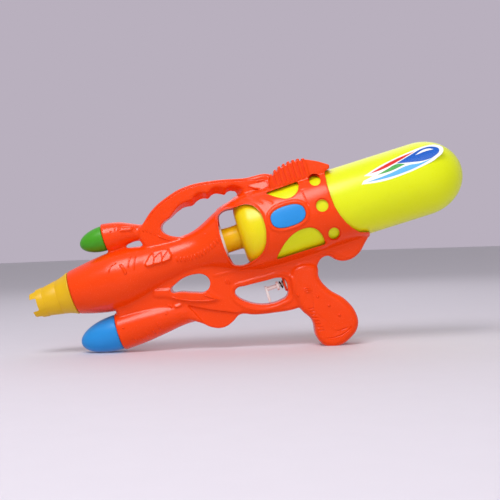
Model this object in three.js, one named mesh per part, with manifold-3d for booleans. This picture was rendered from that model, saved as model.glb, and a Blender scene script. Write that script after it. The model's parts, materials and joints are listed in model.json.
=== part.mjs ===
// Toy water squirter: two moulded shell halves round a screw-in water tank and a trigger pump.
// Millimetres. Working axes: x runs rearward along the barrel, z is up and y is across, with the
// display side at -y. The finished group leans back and stands on its lower nose cap and its grip.

import * as THREE from 'three';
import { mergeVertices } from 'three/addons/utils/BufferGeometryUtils.js';
import Module from 'manifold-3d';

const wasm = await Module();
wasm.setup();

// Walls and fits
const WALL = 2.2;
const FIT = 0.3;
const RUNNING = 0.5;
const FAR = 600;

// Water tank and its screw neck
const TANK_RADIUS = 36.8;
const TANK_Z = 1.7;
const TANK_FRONT = 200;
const TANK_REAR = 431.6;
const TANK_DOME = 42;
const TANK_SHOULDER = 15;
const TANK_WALL = 1.6;
const TANK_CLEARANCE = 1;
const NECK_RADIUS = 12.5;
const NECK_WALL = 2.4;

// Coupling that takes the neck, held by a bulkhead across the barrel
const NECK_SHOWN = 16.4;
const COUPLING_LENGTH = 23.6;
const BULKHEAD_SETBACK = 5.6;
const BULKHEAD_THICK = 3;
const SOCKET_DEPTH = 14.6;
const SOCKET_WALL = 3.6;
const COUPLING_GROOVE = 1.5;
const WASHER_THICK = 1.8;
const WASHER_HOLE = 6;
const PICKUP_RADIUS = 2.4;
const PICKUP_BORE = 1.6;
const PICKUP_INSERT = 4;
const PICKUP_REACH = 62;

// Hoses and the barbs that they push on
const HOSE_RADIUS = 2.5;
const HOSE_BORE = 1.9;
const BARB_RADIUS = HOSE_BORE - 1.5 * FIT;
const BARB_BORE = 0.8;
const BARB_LENGTH = 6.5;
const SUCTION_BARB_SETBACK = 6;

// Shell plates, as half thicknesses, and their edge rounding
const HANDLE_HALF = 11.5;
const WEB_HALF = 12.5;
const GRIP_HALF = 16;
const GILL_HALF = 22;
const HANDLE_ROUND = 4.5;
const WEB_ROUND = 3.5;
const GRIP_ROUND = 6;
const GILL_ROUND = 1.2;

// Gill ribs over the tank collar
const GILL_RIBS = 8;
const GILL_RIB_X = 246.5;
const GILL_RIB_PITCH = 5;
const GILL_RIB_WIDTH = 2.6;
const GILL_RIB_PROUD = 1;

// Finger scallops under the carrying handle
const SCALLOP_RISE = 3;
const SCALLOP_STEPS = 4;

// Nozzle crown and jet
const MUZZLE_X = 24;
const MUZZLE_Z = -2;
const CROWN_RADIUS = 21.8;
const CROWN_TIP_X = -18.5;
const CROWN_TIP_RADIUS = 13.4;
const CROWN_LIP = 2.8;
const CROWN_SPIGOT = 16.7;
const CROWN_SPIGOT_LENGTH = 6.3;
const CROWN_WEB_X = -2;
const NOTCH_FLOOR_X = -12;
const NOTCH_WIDTH = 12.6;
const JET_RADIUS = 4.3;
const JET_BORE = 0.9;
const JET_FRONT_X = -5;
const JET_FLANGE = 9.6;
const JET_FLANGE_THICK = 4;

// Nose caps: upper green one and lower blue one
const UPPER_CAP = { tip: 44, rim: 69.6, z: 41, radius: 12.6, spigot: 9.6, spigotLength: 5.5 };
const LOWER_CAP = { tip: 16, rim: 56, z: -53, radius: 17.8, spigot: 13.4, spigotLength: 6 };
const CAP_WALL = 1.8;

// Trigger pump, on an axis along x below the valves
const PUMP_DROP = 15;
const PUMP_FRONT = 229;
const PUMP_RADIUS = 8.4;
const PUMP_BORE = 6.4;
const GLAND_DEPTH = 12;
const GLAND_THICK = 2.2;
const ROD_RADIUS = 1.9;
const BOSS_RADIUS = 7.6;
const SEAL_THICK = 2;
const TRIGGER_STROKE = 9.5;
const FINGER_REACH = 12;
const FINGER_THICK = 2.4;
const FINGER_WIDTH = 9;
const FINGER_TOP = 3;
const FINGER_DROP = 13;
const COLLAR_SETBACK = 9.4;
const COLLAR_THICK = 2.4;
const COLLAR_RADIUS = 4.4;
const RIB_THICK = 2;
const SPRING_WIRE = 0.9;
const SPRING_RADIUS = 3.5;
const SPRING_TURNS = 6;

// Valve block behind the pump, with one ball valve for each hose, below the tank
const VALVE_DROP = 6.9;
const VALVE_Y = 5;
const VALVE_RADIUS = 4.3;
const VALVE_SETBACK = 3;
const VALVE_LENGTH = 14;
const VALVE_TAIL = 3;
const VALVE_TAIL_LENGTH = 7;
const BALL_RADIUS = 2.1;
const BALL_CHAMBER = 2.5;
const BALL_LIFT = 1.2;
const SEAT_THICK = 1;
const BLOCK_HALF = 9.4;
const BLOCK_PLATE = 3;
const BLOCK_DROP = 1.9;
const BLOCK_FOOT = 8;
const CHANNEL_RADIUS = 1.1;

// Oval inlays on the tank housing
const OVAL_X = 250;
const OVAL_Z = 6;
const OVAL_LENGTH = 34;
const OVAL_HEIGHT = 20;
const OVAL_PROUD = 1.4;

// Screws that close the shell from the right side
const SCREW_PLACES = [
  [118, 40], [226, 47.5], [84, -32], [150, -58], [167.5, -45], [251, -79], [264, -113], [298, -46],
];
const SCREW_RADIUS = 1.35;
const SCREW_HEAD = 2.9;
const SCREW_HEAD_THICK = 2;
const SCREW_REACH = 7;
const SCREW_SEAT = 6;
const SCREW_POST = 4.8;

// Ground contact of the grip
const HEEL = [251, -128.4];

// Derived sizes
const HOUSING_RADIUS = TANK_RADIUS + TANK_CLEARANCE + WALL;
const HOUSING_TOP = TANK_Z + HOUSING_RADIUS;
const HOUSING_BOTTOM = TANK_Z - HOUSING_RADIUS;
const TANK_BOTTOM = TANK_Z - TANK_RADIUS;
const SOCKET_RADIUS = NECK_RADIUS + FIT;
const COUPLING_REAR = TANK_FRONT - NECK_SHOWN;
const COUPLING_FRONT = COUPLING_REAR - COUPLING_LENGTH;
const BULKHEAD_X = COUPLING_REAR - BULKHEAD_SETBACK;
const SUCTION_BARB_X = COUPLING_FRONT + SUCTION_BARB_SETBACK;
const PICKUP_REAR = TANK_FRONT + PICKUP_REACH;
const SOCKET_SEAT = COUPLING_REAR - SOCKET_DEPTH;
const COUPLING_RADIUS = SOCKET_RADIUS + SOCKET_WALL;
const NECK_FRONT = SOCKET_SEAT + WASHER_THICK + 2 * FIT;
const VALVE_Z = TANK_BOTTOM - VALVE_DROP;
const PUMP_Z = VALVE_Z - PUMP_DROP;
const BLOCK_TOP = TANK_BOTTOM - BLOCK_DROP;
const BLOCK_BOTTOM = PUMP_Z - BLOCK_FOOT;
const BOSS_FRONT = PUMP_FRONT - WALL;
const GLAND_X = PUMP_FRONT + GLAND_DEPTH;
const COLLAR_X = PUMP_FRONT - COLLAR_SETBACK;
const FINGER_X = COLLAR_X - FINGER_REACH;
const VALVE_FRONT = PUMP_FRONT + VALVE_SETBACK;
const SPRING_FRONT = COLLAR_X + COLLAR_THICK + FIT;
const SPRING_REAR = GLAND_X - FIT;
const JET_FLANGE_X = MUZZLE_X + CROWN_SPIGOT_LENGTH - JET_FLANGE_THICK - FIT;
const JET_BARB_X = JET_FLANGE_X + JET_FLANGE_THICK;
const SPRING_POCKET = COLLAR_RADIUS + RUNNING;
const SEAL_X = GLAND_X + GLAND_THICK + 2 * FIT;
const PISTON_REAR = SEAL_X + SEAL_THICK + FIT;
const PUMP_REAR = PISTON_REAR + TRIGGER_STROKE + RUNNING;
const VALVE_REAR = VALVE_FRONT + VALVE_LENGTH;
const BLOCK_FRONT = VALVE_REAR + FIT;

// Side outlines and sections, as [x, z] points and [x, top, bottom, half width] stations
const BARREL = [
  [MUZZLE_X, 20, -24, 22], [40, 22.6, -28.6, 25.6], [55, 24.8, -31.6, 28], [70, 26, -32, 29],
  [88, 25, -29.5, 27.4], [108, 21.5, -25, 23.6], [130, 20, -21, 21], [146, 19.8, -20, 20.6],
  [158, 21.6, -21, 22], [168, 25.5, -23.5, 25.4], [178, 30.4, -27, 29.4], [188, 34.8, -31.4, 33.4],
  [200, 38.8, -35.2, 37.2], [214, HOUSING_TOP, HOUSING_BOTTOM, HOUSING_RADIUS],
  [326, HOUSING_TOP, HOUSING_BOTTOM, HOUSING_RADIUS],
];
const UPPER_TUBE = [
  [UPPER_CAP.rim, 55.6, 25.6, 14.2], [82, 53.6, 25.8, 13.2], [90, 51.4, 27.8, 11.8],
  [100, 46.8, 28.4, 9.8], [107, 43.6, 25.2, 9], [114, 41, 19.6, 8.6], [124, 34, 8, 8],
];
const LOWER_TUBE = [
  [LOWER_CAP.rim, -34, -72.4, 19.2], [80, -34.4, -71.2, 18.4], [100, -36, -68.8, 17],
  [120, -40, -66.2, 14], [140, -46, -66, 11], [166, -52, -63, 8],
];
const TUBE_WEB = [[73, 20], [73, 32], [84, 32], [86, 20]];
const HANDLE = [
  [104, 36], [112, 43.6], [124, 53.2], [140, 60.4], [162, 65.4], [190, 63], [220, 56], [250, 49],
  [252, 34], [205, 28], [150, 8], [118, 4], [106, 20],
];
const HANDLE_HOLE = [
  [130, 37], [127, 32], [130, 26], [140, 21.4], [150, 20], [160, 22], [170, 26], [178, 31],
  [188, 35.4], [200, 38.6], [212, 41.8],
];
const SCALLOP_CUSPS = [[209, 45], [197, 46], [180.5, 47.3], [164, 45], [140, 40]];
const WEB = [
  [66, -16], [66, -50], [112, -56], [137, -69], [146, -76.4], [157, -80], [168, -77], [176, -72.6],
  [190, -77], [206, -80.6], [238, -83.4], [258, -76], [262.4, -60], [265, -48.6], [276, -43],
  [286, -51], [296, -53.6], [306, -51], [315, -43.6], [322.4, -33], [308, -22], [220, -18],
  [170, -10], [110, -8],
];
const TEARDROP = [
  [118, -29.6], [126, -23.4], [136, -20.6], [146, -20.8], [153, -23], [157.6, -29], [156.6, -36],
  [150, -40.4], [140, -38], [128, -33.4],
];
const ABOUT_PUMP = [
  [178, 6], [181, 10.2], [190, 10.2], [210, 9], [225, 7.6], [229, 5], [229, -7],
  [227, -11.6], [220, -14.2], [208, -14.4], [196, -11], [186, -5], [179.4, 2],
];
const TRIGGER_HOLE = ABOUT_PUMP.map(([x, rise]) => [x, PUMP_Z + rise]);
const GRIP = [
  [238, -46], [235, -84], [243, -100], [242.4, -118], [249.4, -129.2], [260, -132], [275, -127.4],
  [284, -120], [287, -108], [281, -90], [268, -74.6], [262.4, -60], [264, -51], [256, -44],
];
const GILL = [
  [243.4, 36.8], [244.4, 46], [252, 52.6], [266, 56.4], [277, 56.2], [290, 51.4], [302, 44],
  [306, 40.4], [303, 37.6], [294, 36.8],
];
const GILL_CORE = [...GILL.slice(0, 6), [292, 36.8]];
const COLLAR_CUT = [
  [304, 39], [298.4, 37], [295.6, 25], [295, 12], [295.6, 1], [298, -8], [302, -17], [307, -24],
  [313, -30], [322.6, -33.2], [FAR, -33.2], [FAR, 120], [307.4, 120], [307.4, 39],
];
const NECK_WINDOW = [
  [184, 24], [187, 29], [204, 30], [217, 28.6], [224.6, 20], [226.4, 8], [224.6, -5], [219, -17],
  [210, -23.4], [187, -24.6], [184, -20],
];
const UPPER_CRESCENT = [[236, 34.4], [270, 35.6], [268, 28.4], [263, 24], [255.6, 22.4], [247, 26]];
const LOWER_CRESCENT = [
  [227, -31], [234, -23], [242, -16.4], [251, -11.8], [262, -10.2], [270, -12.4], [275, -18], [278, -31],
];
const PORTHOLES = [[286, 31.4, 5.5], [284.4, 5.6, 6], [288, -23.4, 5.5]];

// Hose routes, as [x, y, z] points from the barb at the rear end
const SUCTION_ROUTE = [
  [VALVE_FRONT - FIT, VALVE_Y, VALVE_Z], [VALVE_FRONT - BARB_LENGTH, VALVE_Y, VALVE_Z],
  [220, 5, -41.9], [206, 5, -40.8], [191, 3.8, -38], [179, 2, -34], [170.6, 0.5, -28.6],
  [SUCTION_BARB_X + FIT, 0, TANK_Z - COUPLING_RADIUS - BARB_LENGTH - HOSE_RADIUS / 2],
  [SUCTION_BARB_X, 0, TANK_Z - COUPLING_RADIUS - BARB_LENGTH / 2],
  [SUCTION_BARB_X, 0, TANK_Z - COUPLING_RADIUS - FIT],
];
const DELIVERY_ROUTE = [
  [VALVE_FRONT - FIT, -VALVE_Y, VALVE_Z], [VALVE_FRONT - BARB_LENGTH, -VALVE_Y, VALVE_Z],
  [220, -5.1, -41.9], [206, -5.8, -40.6], [192, -6.6, -37.8], [181, -7.2, -33.4], [171, -7.2, -26.2],
  [162, -7, -19.4], [152, -6.6, -14.4], [138, -5.4, -9.4], [120, -3.4, -5.4], [98, -1.4, -3], [74, 0, MUZZLE_Z],
  [JET_BARB_X + BARB_LENGTH, 0, MUZZLE_Z], [JET_BARB_X + FIT, 0, MUZZLE_Z],
];

// Closed mesh to solid: shared vertices are merged and triangles without area dropped
function solid(geometry) {
  const bare = geometry.clone();
  bare.deleteAttribute('normal');
  bare.deleteAttribute('uv');
  const merged = mergeVertices(bare, 1e-4);
  const corners = merged.index.array;
  const triangles = [];
  for (let i = 0; i < corners.length; i += 3) {
    const [a, b, c] = [corners[i], corners[i + 1], corners[i + 2]];
    if (a !== b && b !== c && c !== a) triangles.push(a, b, c);
  }
  const vertProperties = new Float32Array(merged.attributes.position.array);
  const triVerts = new Uint32Array(triangles);
  return new wasm.Manifold(new wasm.Mesh({ numProp: 3, vertProperties, triVerts }));
}

function geometryOf(body) {
  const { numProp, vertProperties, triVerts } = body.getMesh();
  const positions = new Float32Array((vertProperties.length / numProp) * 3);
  for (let i = 0; i < positions.length / 3; i += 1) {
    for (let axis = 0; axis < 3; axis += 1) positions[3 * i + axis] = vertProperties[numProp * i + axis];
  }
  const geometry = new THREE.BufferGeometry();
  geometry.setAttribute('position', new THREE.BufferAttribute(positions, 3));
  geometry.setIndex(Array.from(triVerts));
  geometry.computeVertexNormals();
  return geometry;
}

const union = (bodies) => bodies.reduce((whole, body) => whole.add(body));

// Body of revolution about an x axis; the profile is [x, radius] points, outside first, rearward
function revolve(profile, z = 0, y = 0, segments = 16) {
  const lathe = new THREE.LatheGeometry(profile.map(([x, r]) => new THREE.Vector2(r, x)), segments);
  lathe.rotateZ(-Math.PI / 2);
  lathe.translate(0, y, z);
  return solid(lathe);
}

const rod = (x0, x1, radius, z, y = 0, segments = 16) =>
  revolve([[x0, 0], [x0, radius], [x1, radius], [x1, 0]], z, y, segments);

// Plain cylinder along y or z
function post(radius, from, to, [x, z], segments = 10) {
  const cylinder = new THREE.CylinderGeometry(radius, radius, to - from, segments);
  cylinder.translate(x, (from + to) / 2, z);
  return solid(cylinder);
}

function upright(radius, from, to, [x, y], segments = 12) {
  const cylinder = new THREE.CylinderGeometry(radius, radius, to - from, segments);
  cylinder.rotateX(Math.PI / 2);
  cylinder.translate(x, y, (from + to) / 2);
  return solid(cylinder);
}

function block([x0, x1], [y0, y1], [z0, z1]) {
  const box = new THREE.BoxGeometry(x1 - x0, y1 - y0, z1 - z0);
  box.translate((x0 + x1) / 2, (y0 + y1) / 2, (z0 + z1) / 2);
  return solid(box);
}

// Hull through upright elliptical sections, drawn in by an inset all round
function loft(stations, inset = 0, sides = 18) {
  const positions = [];
  const index = [];
  for (const [x, top, bottom, half] of stations) {
    for (let k = 0; k < sides; k += 1) {
      const angle = (2 * Math.PI * k) / sides;
      const z = (top + bottom) / 2 + ((top - bottom) / 2 - inset) * Math.sin(angle);
      positions.push(x, (half - inset) * Math.cos(angle), z);
    }
  }
  const last = (stations.length - 1) * sides;
  for (let ring = 0; ring < last; ring += sides) {
    for (let k = 0; k < sides; k += 1) {
      const [a, b] = [ring + k, ring + ((k + 1) % sides)];
      index.push(a, b, a + sides, b, b + sides, a + sides);
    }
  }
  for (let k = 1; k < sides - 1; k += 1) {
    index.push(0, k + 1, k, last, last + k, last + k + 1);
  }
  const hull = new THREE.BufferGeometry();
  hull.setAttribute('position', new THREE.Float32BufferAttribute(positions, 3));
  hull.setIndex(index);
  return solid(hull);
}

// Closed smooth curve through hand-chosen points
function smooth(points, perSpan = 2) {
  const nodes = points.map(([x, z]) => new THREE.Vector3(x, z, 0));
  const curve = new THREE.CatmullRomCurve3(nodes, true, 'centripetal');
  return curve.getPoints(points.length * perSpan).slice(0, -1).map((p) => [p.x, p.y]);
}

// Plate seen from the side, centred on y = 0, with rounded edges; a negative inset grows it
function plate(outline, half, round = 0, inset = 0) {
  const shape = new THREE.Shape(outline.map(([x, z]) => new THREE.Vector2(x, z)));
  const depth = 2 * (half - round);
  const extrusion = new THREE.ExtrudeGeometry(shape, {
    depth,
    bevelEnabled: true,
    bevelSegments: round > 0 ? 1 : 0,
    bevelThickness: round,
    bevelSize: round,
    bevelOffset: -round - inset,
  });
  extrusion.translate(0, 0, -depth / 2);
  extrusion.rotateX(Math.PI / 2);
  return solid(extrusion);
}

const prism = (outline, grow = 0, half = FAR) => plate(outline, half, 0, -grow);

// Round section swept along a smooth route, with a bore where one is given
function sweep(route, radius, bore, steps, sides) {
  const section = new THREE.Shape();
  const ring = (size) => Array.from({ length: sides }, (_, k) => {
    const angle = (2 * Math.PI * k) / sides;
    return new THREE.Vector2(size * Math.cos(angle), size * Math.sin(angle));
  });
  section.setFromPoints(ring(radius));
  if (bore > 0) section.holes.push(new THREE.Path(ring(bore)));
  const nodes = route.map((point) => new THREE.Vector3(...point));
  const extrudePath = new THREE.CatmullRomCurve3(nodes, false, 'centripetal');
  return solid(new THREE.ExtrudeGeometry(section, { steps, extrudePath }));
}

// Handle opening, with a finger scallop between each pair of cusps
function handleOpening(rise, steps = SCALLOP_STEPS) {
  const scallops = [];
  for (let i = 0; i < SCALLOP_CUSPS.length - 1; i += 1) {
    const [from, to] = [SCALLOP_CUSPS[i], SCALLOP_CUSPS[i + 1]];
    for (let step = 0; step < steps; step += 1) {
      const t = step / steps;
      const lift = rise * Math.sin(Math.PI * t);
      scallops.push([from[0] + (to[0] - from[0]) * t, from[1] + (to[1] - from[1]) * t + lift]);
    }
  }
  return [...HANDLE_HOLE, ...scallops, SCALLOP_CUSPS.at(-1)];
}

// Rounded profile of a nose cap, from its tip to its rim
function bullet({ tip, rim, radius }, inset, steps = 6) {
  return Array.from({ length: steps + 1 }, (_, i) => {
    const angle = (Math.PI / 2) * (i / steps);
    const reach = (rim - tip - inset) * (1 - Math.cos(angle));
    return [tip + inset + reach, (radius - inset) * Math.sin(angle)];
  });
}

// Lean that sets both the heel and the lower nose cap on the ground
const LEAN = Math.min(...bullet(LOWER_CAP, 0).map(([x, r]) =>
  Math.atan2(LOWER_CAP.z - r - HEEL[1], HEEL[0] - x)));

// Ground under the leaning toy, in the working axes
function ground() {
  const box = new THREE.BoxGeometry(2 * FAR, 2 * FAR, FAR);
  box.translate(0, 0, -FAR / 2);
  box.rotateY(LEAN);
  box.translate(HEEL[0], 0, HEEL[1]);
  return solid(box);
}

// Shell, before it is parted: the skin, its inside, then what stands and what opens in it
function gillRibs() {
  const grown = plate(smooth(GILL), GILL_HALF + GILL_RIB_PROUD, GILL_ROUND, -GILL_RIB_PROUD);
  return Array.from({ length: GILL_RIBS }, (_, i) => {
    const x = GILL_RIB_X + i * GILL_RIB_PITCH;
    const slab = block([x - GILL_RIB_WIDTH / 2, x + GILL_RIB_WIDTH / 2], [-FAR, FAR], [GILL[0][1], FAR]);
    return grown.intersect(slab);
  });
}

function shell() {
  const openings = [
    [smooth(TEARDROP), 0], [smooth(TRIGGER_HOLE), 0], [handleOpening(SCALLOP_RISE), 0],
  ];
  const linings = [
    [TEARDROP, WALL], [TRIGGER_HOLE, WALL], [handleOpening(0, 1), WALL + SCALLOP_RISE],
  ];
  const plates = [
    [HANDLE, HANDLE_HALF, HANDLE_ROUND], [WEB, WEB_HALF, WEB_ROUND], [GRIP, GRIP_HALF, GRIP_ROUND],
    [GILL, GILL_HALF, GILL_ROUND],
  ];
  const hollows = [...plates.slice(0, -1), [GILL_CORE, GILL_HALF, GILL_ROUND]];
  const skin = union([
    loft(BARREL), loft(UPPER_TUBE), loft(LOWER_TUBE), prism(TUBE_WEB, 0, UPPER_CAP.spigot / 2),
    ...plates.map(([outline, half, round]) => plate(smooth(outline), half, round)),
    ...gillRibs(),
  ]);
  const boss = rod(BOSS_FRONT, PUMP_FRONT + WALL, BOSS_RADIUS, PUMP_Z);
  const cuts = [...openings.map(([outline, grow]) => prism(outline, grow)), prism(COLLAR_CUT), ground()];
  const outside = skin.subtract(union(cuts)).add(boss);

  const front = (stations, wall) => stations.map(([x, ...rest], i) => [i === 0 ? x + wall : x, ...rest]);
  const barrelInside = [...front(BARREL, WALL).slice(0, -1), [FAR, ...BARREL.at(-1).slice(1)]];
  const plateInside = union(hollows.map(([outline, half, round]) =>
    plate(outline, half - WALL, Math.max(0, round - WALL), WALL)))
    .subtract(union([...linings.map(([outline, grow]) => prism(outline, grow)), boss]));
  const inside = union([
    loft(barrelInside, WALL), loft(front(UPPER_TUBE, WALL), WALL), loft(front(LOWER_TUBE, WALL), WALL),
    plateInside,
  ]);

  const ring = rod(BULKHEAD_X, BULKHEAD_X + BULKHEAD_THICK, FAR, TANK_Z);
  const pumpRibs = [PUMP_FRONT + PUMP_RADIUS, PUMP_REAR - WALL].map((x) =>
    block([x - RIB_THICK, x], [-FAR, FAR], [BLOCK_BOTTOM - WALL, PUMP_Z + PUMP_RADIUS - FIT]));
  const bulkhead = ring.intersect(loft(BARREL));
  const posts = SCREW_PLACES.map((place) => post(SCREW_POST, -FAR, FAR, place));
  const standing = union([bulkhead, ...pumpRibs, ...posts]).intersect(outside);

  const screwHoles = SCREW_PLACES.flatMap((place) => [
    post(SCREW_RADIUS + FIT / 2, -SCREW_REACH - FIT, SCREW_SEAT + FIT, place),
    post(SCREW_HEAD + FIT, SCREW_SEAT, FAR, place),
  ]);
  const windows = [
    prism(smooth(NECK_WINDOW)), prism(UPPER_CRESCENT), prism(LOWER_CRESCENT), prism(oval(), FIT),
    ...PORTHOLES.map(([x, z, radius]) => post(radius, -FAR, FAR, [x, z])),
  ];
  const bores = [
    rod(0, MUZZLE_X + 2 * WALL, CROWN_SPIGOT + FIT, MUZZLE_Z),
    ...[UPPER_CAP, LOWER_CAP].map(({ tip, rim, z, spigot }) => rod(tip, rim + 2 * WALL, spigot + FIT, z)),
    rod(BOSS_FRONT - WALL, PUMP_FRONT - FIT, SPRING_POCKET, PUMP_Z),
    rod(PUMP_FRONT - FIT, PUMP_REAR + FIT, PUMP_RADIUS + FIT, PUMP_Z),
    rod(BULKHEAD_X - WALL, TANK_FRONT, COUPLING_RADIUS - COUPLING_GROOVE + FIT, TANK_Z),
  ];
  return outside.subtract(inside).add(standing).subtract(union([...screwHoles, ...windows, ...bores]));
}

const LEFT_SIDE = block([-FAR, FAR], [-FAR, -FIT / 2], [-FAR, FAR]);
const RIGHT_SIDE = block([-FAR, FAR], [FIT / 2, FAR], [-FAR, FAR]);

function oval(steps = 20) {
  return Array.from({ length: steps }, (_, i) => {
    const angle = (2 * Math.PI * i) / steps;
    return [OVAL_X + (OVAL_LENGTH / 2) * Math.cos(angle), OVAL_Z + (OVAL_HEIGHT / 2) * Math.sin(angle)];
  });
}

function ovalInlay(side) {
  const [from, to] = [OVAL_X - OVAL_LENGTH, OVAL_X + OVAL_LENGTH];
  const band = rod(from, to, HOUSING_RADIUS + OVAL_PROUD, TANK_Z, 0, 40)
    .subtract(rod(from - FIT, to + FIT, HOUSING_RADIUS - WALL, TANK_Z, 0, 40));
  return prism(oval()).intersect(band).intersect(side);
}

// Tank: a blown bottle with a round dome behind, a square shoulder in front and an open neck
function waterTank() {
  const quarter = (steps, place) => Array.from({ length: steps + 1 }, (_, i) =>
    place((Math.PI / 2) * (i / steps)));
  const shoulder = (inset) => quarter(3, (a) => [
    TANK_FRONT + inset + (TANK_SHOULDER - inset) * (1 - Math.sin(Math.PI / 2 - a)),
    TANK_RADIUS - TANK_SHOULDER + (TANK_SHOULDER - inset) * Math.cos(Math.PI / 2 - a),
  ]);
  const dome = (inset) => quarter(6, (a) => [
    TANK_REAR - TANK_DOME + (TANK_DOME - inset) * Math.sin(a),
    a === Math.PI / 2 ? 0 : (TANK_RADIUS - inset) * Math.cos(a),
  ]);
  const neckBore = NECK_RADIUS - NECK_WALL;
  return revolve([
    [NECK_FRONT, neckBore], [NECK_FRONT, NECK_RADIUS], [TANK_FRONT, NECK_RADIUS],
    ...shoulder(0), ...dome(0), ...dome(TANK_WALL).reverse(), ...shoulder(TANK_WALL).reverse(),
    [TANK_FRONT + TANK_WALL, neckBore], [NECK_FRONT, neckBore],
  ], TANK_Z, 0, 28);
}

function tankCoupling() {
  const groove = COUPLING_RADIUS - COUPLING_GROOVE;
  const [low, high] = [BULKHEAD_X - FIT, BULKHEAD_X + BULKHEAD_THICK + FIT];
  const pickupSeat = SOCKET_SEAT - PICKUP_INSERT;
  const socket = revolve([
    [COUPLING_FRONT, 0], [COUPLING_FRONT, COUPLING_RADIUS], [low, COUPLING_RADIUS], [low, groove],
    [high, groove], [high, COUPLING_RADIUS], [COUPLING_REAR, COUPLING_RADIUS],
    [COUPLING_REAR, SOCKET_RADIUS], [SOCKET_SEAT, SOCKET_RADIUS], [SOCKET_SEAT, PICKUP_RADIUS + FIT],
    [pickupSeat, PICKUP_RADIUS + FIT], [pickupSeat, 0],
  ], TANK_Z);
  const barbEnd = TANK_Z - COUPLING_RADIUS - BARB_LENGTH;
  const place = [SUCTION_BARB_X, 0];
  const channel = rod(SUCTION_BARB_X - BARB_BORE, pickupSeat + FIT, BARB_BORE, TANK_Z, 0, 8);
  return socket.add(upright(BARB_RADIUS, barbEnd, TANK_Z - SOCKET_RADIUS, place))
    .subtract(upright(BARB_BORE, barbEnd - FIT, TANK_Z, place, 8)).subtract(channel);
}

const ringOf = (x0, x1, outer, inner, z, y = 0, segments = 16) =>
  revolve([[x0, inner], [x0, outer], [x1, outer], [x1, inner], [x0, inner]], z, y, segments);

function pumpCylinder() {
  const glandRear = GLAND_X + GLAND_THICK;
  const glandBore = ROD_RADIUS + FIT;
  return revolve([
    [PUMP_FRONT, SPRING_POCKET], [PUMP_FRONT, PUMP_RADIUS], [PUMP_REAR, PUMP_RADIUS],
    [PUMP_REAR, PUMP_BORE], [glandRear, PUMP_BORE], [glandRear, glandBore], [GLAND_X, glandBore],
    [GLAND_X, SPRING_POCKET], [PUMP_FRONT, SPRING_POCKET],
  ], PUMP_Z);
}

function trigger() {
  const stem = revolve([
    [FINGER_X, 0], [FINGER_X, ROD_RADIUS], [COLLAR_X, ROD_RADIUS], [COLLAR_X, COLLAR_RADIUS],
    [COLLAR_X + COLLAR_THICK, COLLAR_RADIUS], [COLLAR_X + COLLAR_THICK, ROD_RADIUS],
    [PISTON_REAR, ROD_RADIUS], [PISTON_REAR, 0],
  ], PUMP_Z);
  const finger = block([FINGER_X, FINGER_X + FINGER_THICK], [-FINGER_WIDTH / 2, FINGER_WIDTH / 2],
    [PUMP_Z - FINGER_DROP, PUMP_Z + FINGER_TOP]);
  return stem.add(finger);
}

// Return spring: one unbroken wire whose ends run straight along the axis
function springRoute() {
  const [from, to] = [SPRING_FRONT + SPRING_WIRE, SPRING_REAR - SPRING_WIRE];
  const count = 8 * SPRING_TURNS;
  const at = (x, turn) => [
    x, SPRING_RADIUS * Math.sin(2 * Math.PI * turn), PUMP_Z + SPRING_RADIUS * Math.cos(2 * Math.PI * turn),
  ];
  const curls = Array.from({ length: count + 1 }, (_, i) =>
    at(from + ((to - from) * i) / count, (SPRING_TURNS * i) / count));
  return [at(SPRING_FRONT, 0), ...curls, at(SPRING_REAR, SPRING_TURNS)];
}

function leastSelfGap(route, wire, apart) {
  let least = Infinity;
  for (let i = 0; i < route.length; i += 1) {
    for (let j = i + apart; j < route.length; j += 1) {
      least = Math.min(least, Math.hypot(...route[i].map((value, k) => value - route[j][k])) - wire);
    }
  }
  return least;
}

function valveBody(y, seatInFront) {
  const chamberFront = VALVE_FRONT + SEAT_THICK;
  const chamberRear = chamberFront + 2 * BALL_RADIUS + BALL_LIFT + 2 * FIT;
  const tailRear = VALVE_REAR + VALVE_TAIL_LENGTH;
  const barbFront = VALVE_FRONT - BARB_LENGTH;
  const [frontBore, rearBore] = seatInFront ? [BARB_BORE, CHANNEL_RADIUS] : [CHANNEL_RADIUS, BARB_BORE];
  return revolve([
    [barbFront, frontBore], [barbFront, BARB_RADIUS], [VALVE_FRONT, BARB_RADIUS],
    [VALVE_FRONT, VALVE_RADIUS], [VALVE_REAR, VALVE_RADIUS], [VALVE_REAR, VALVE_TAIL],
    [tailRear, VALVE_TAIL], [tailRear, rearBore], [chamberRear, rearBore], [chamberRear, BALL_CHAMBER],
    [chamberFront, BALL_CHAMBER], [chamberFront, frontBore], [barbFront, frontBore],
  ], VALVE_Z, y, 12);
}

// Both balls lie at the low, front end of their chambers while the toy leans back
function valveBall(y) {
  const ball = new THREE.SphereGeometry(BALL_RADIUS, 10, 6);
  ball.translate(VALVE_FRONT + SEAT_THICK + BALL_RADIUS + FIT, y, VALVE_Z);
  return solid(ball);
}

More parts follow.
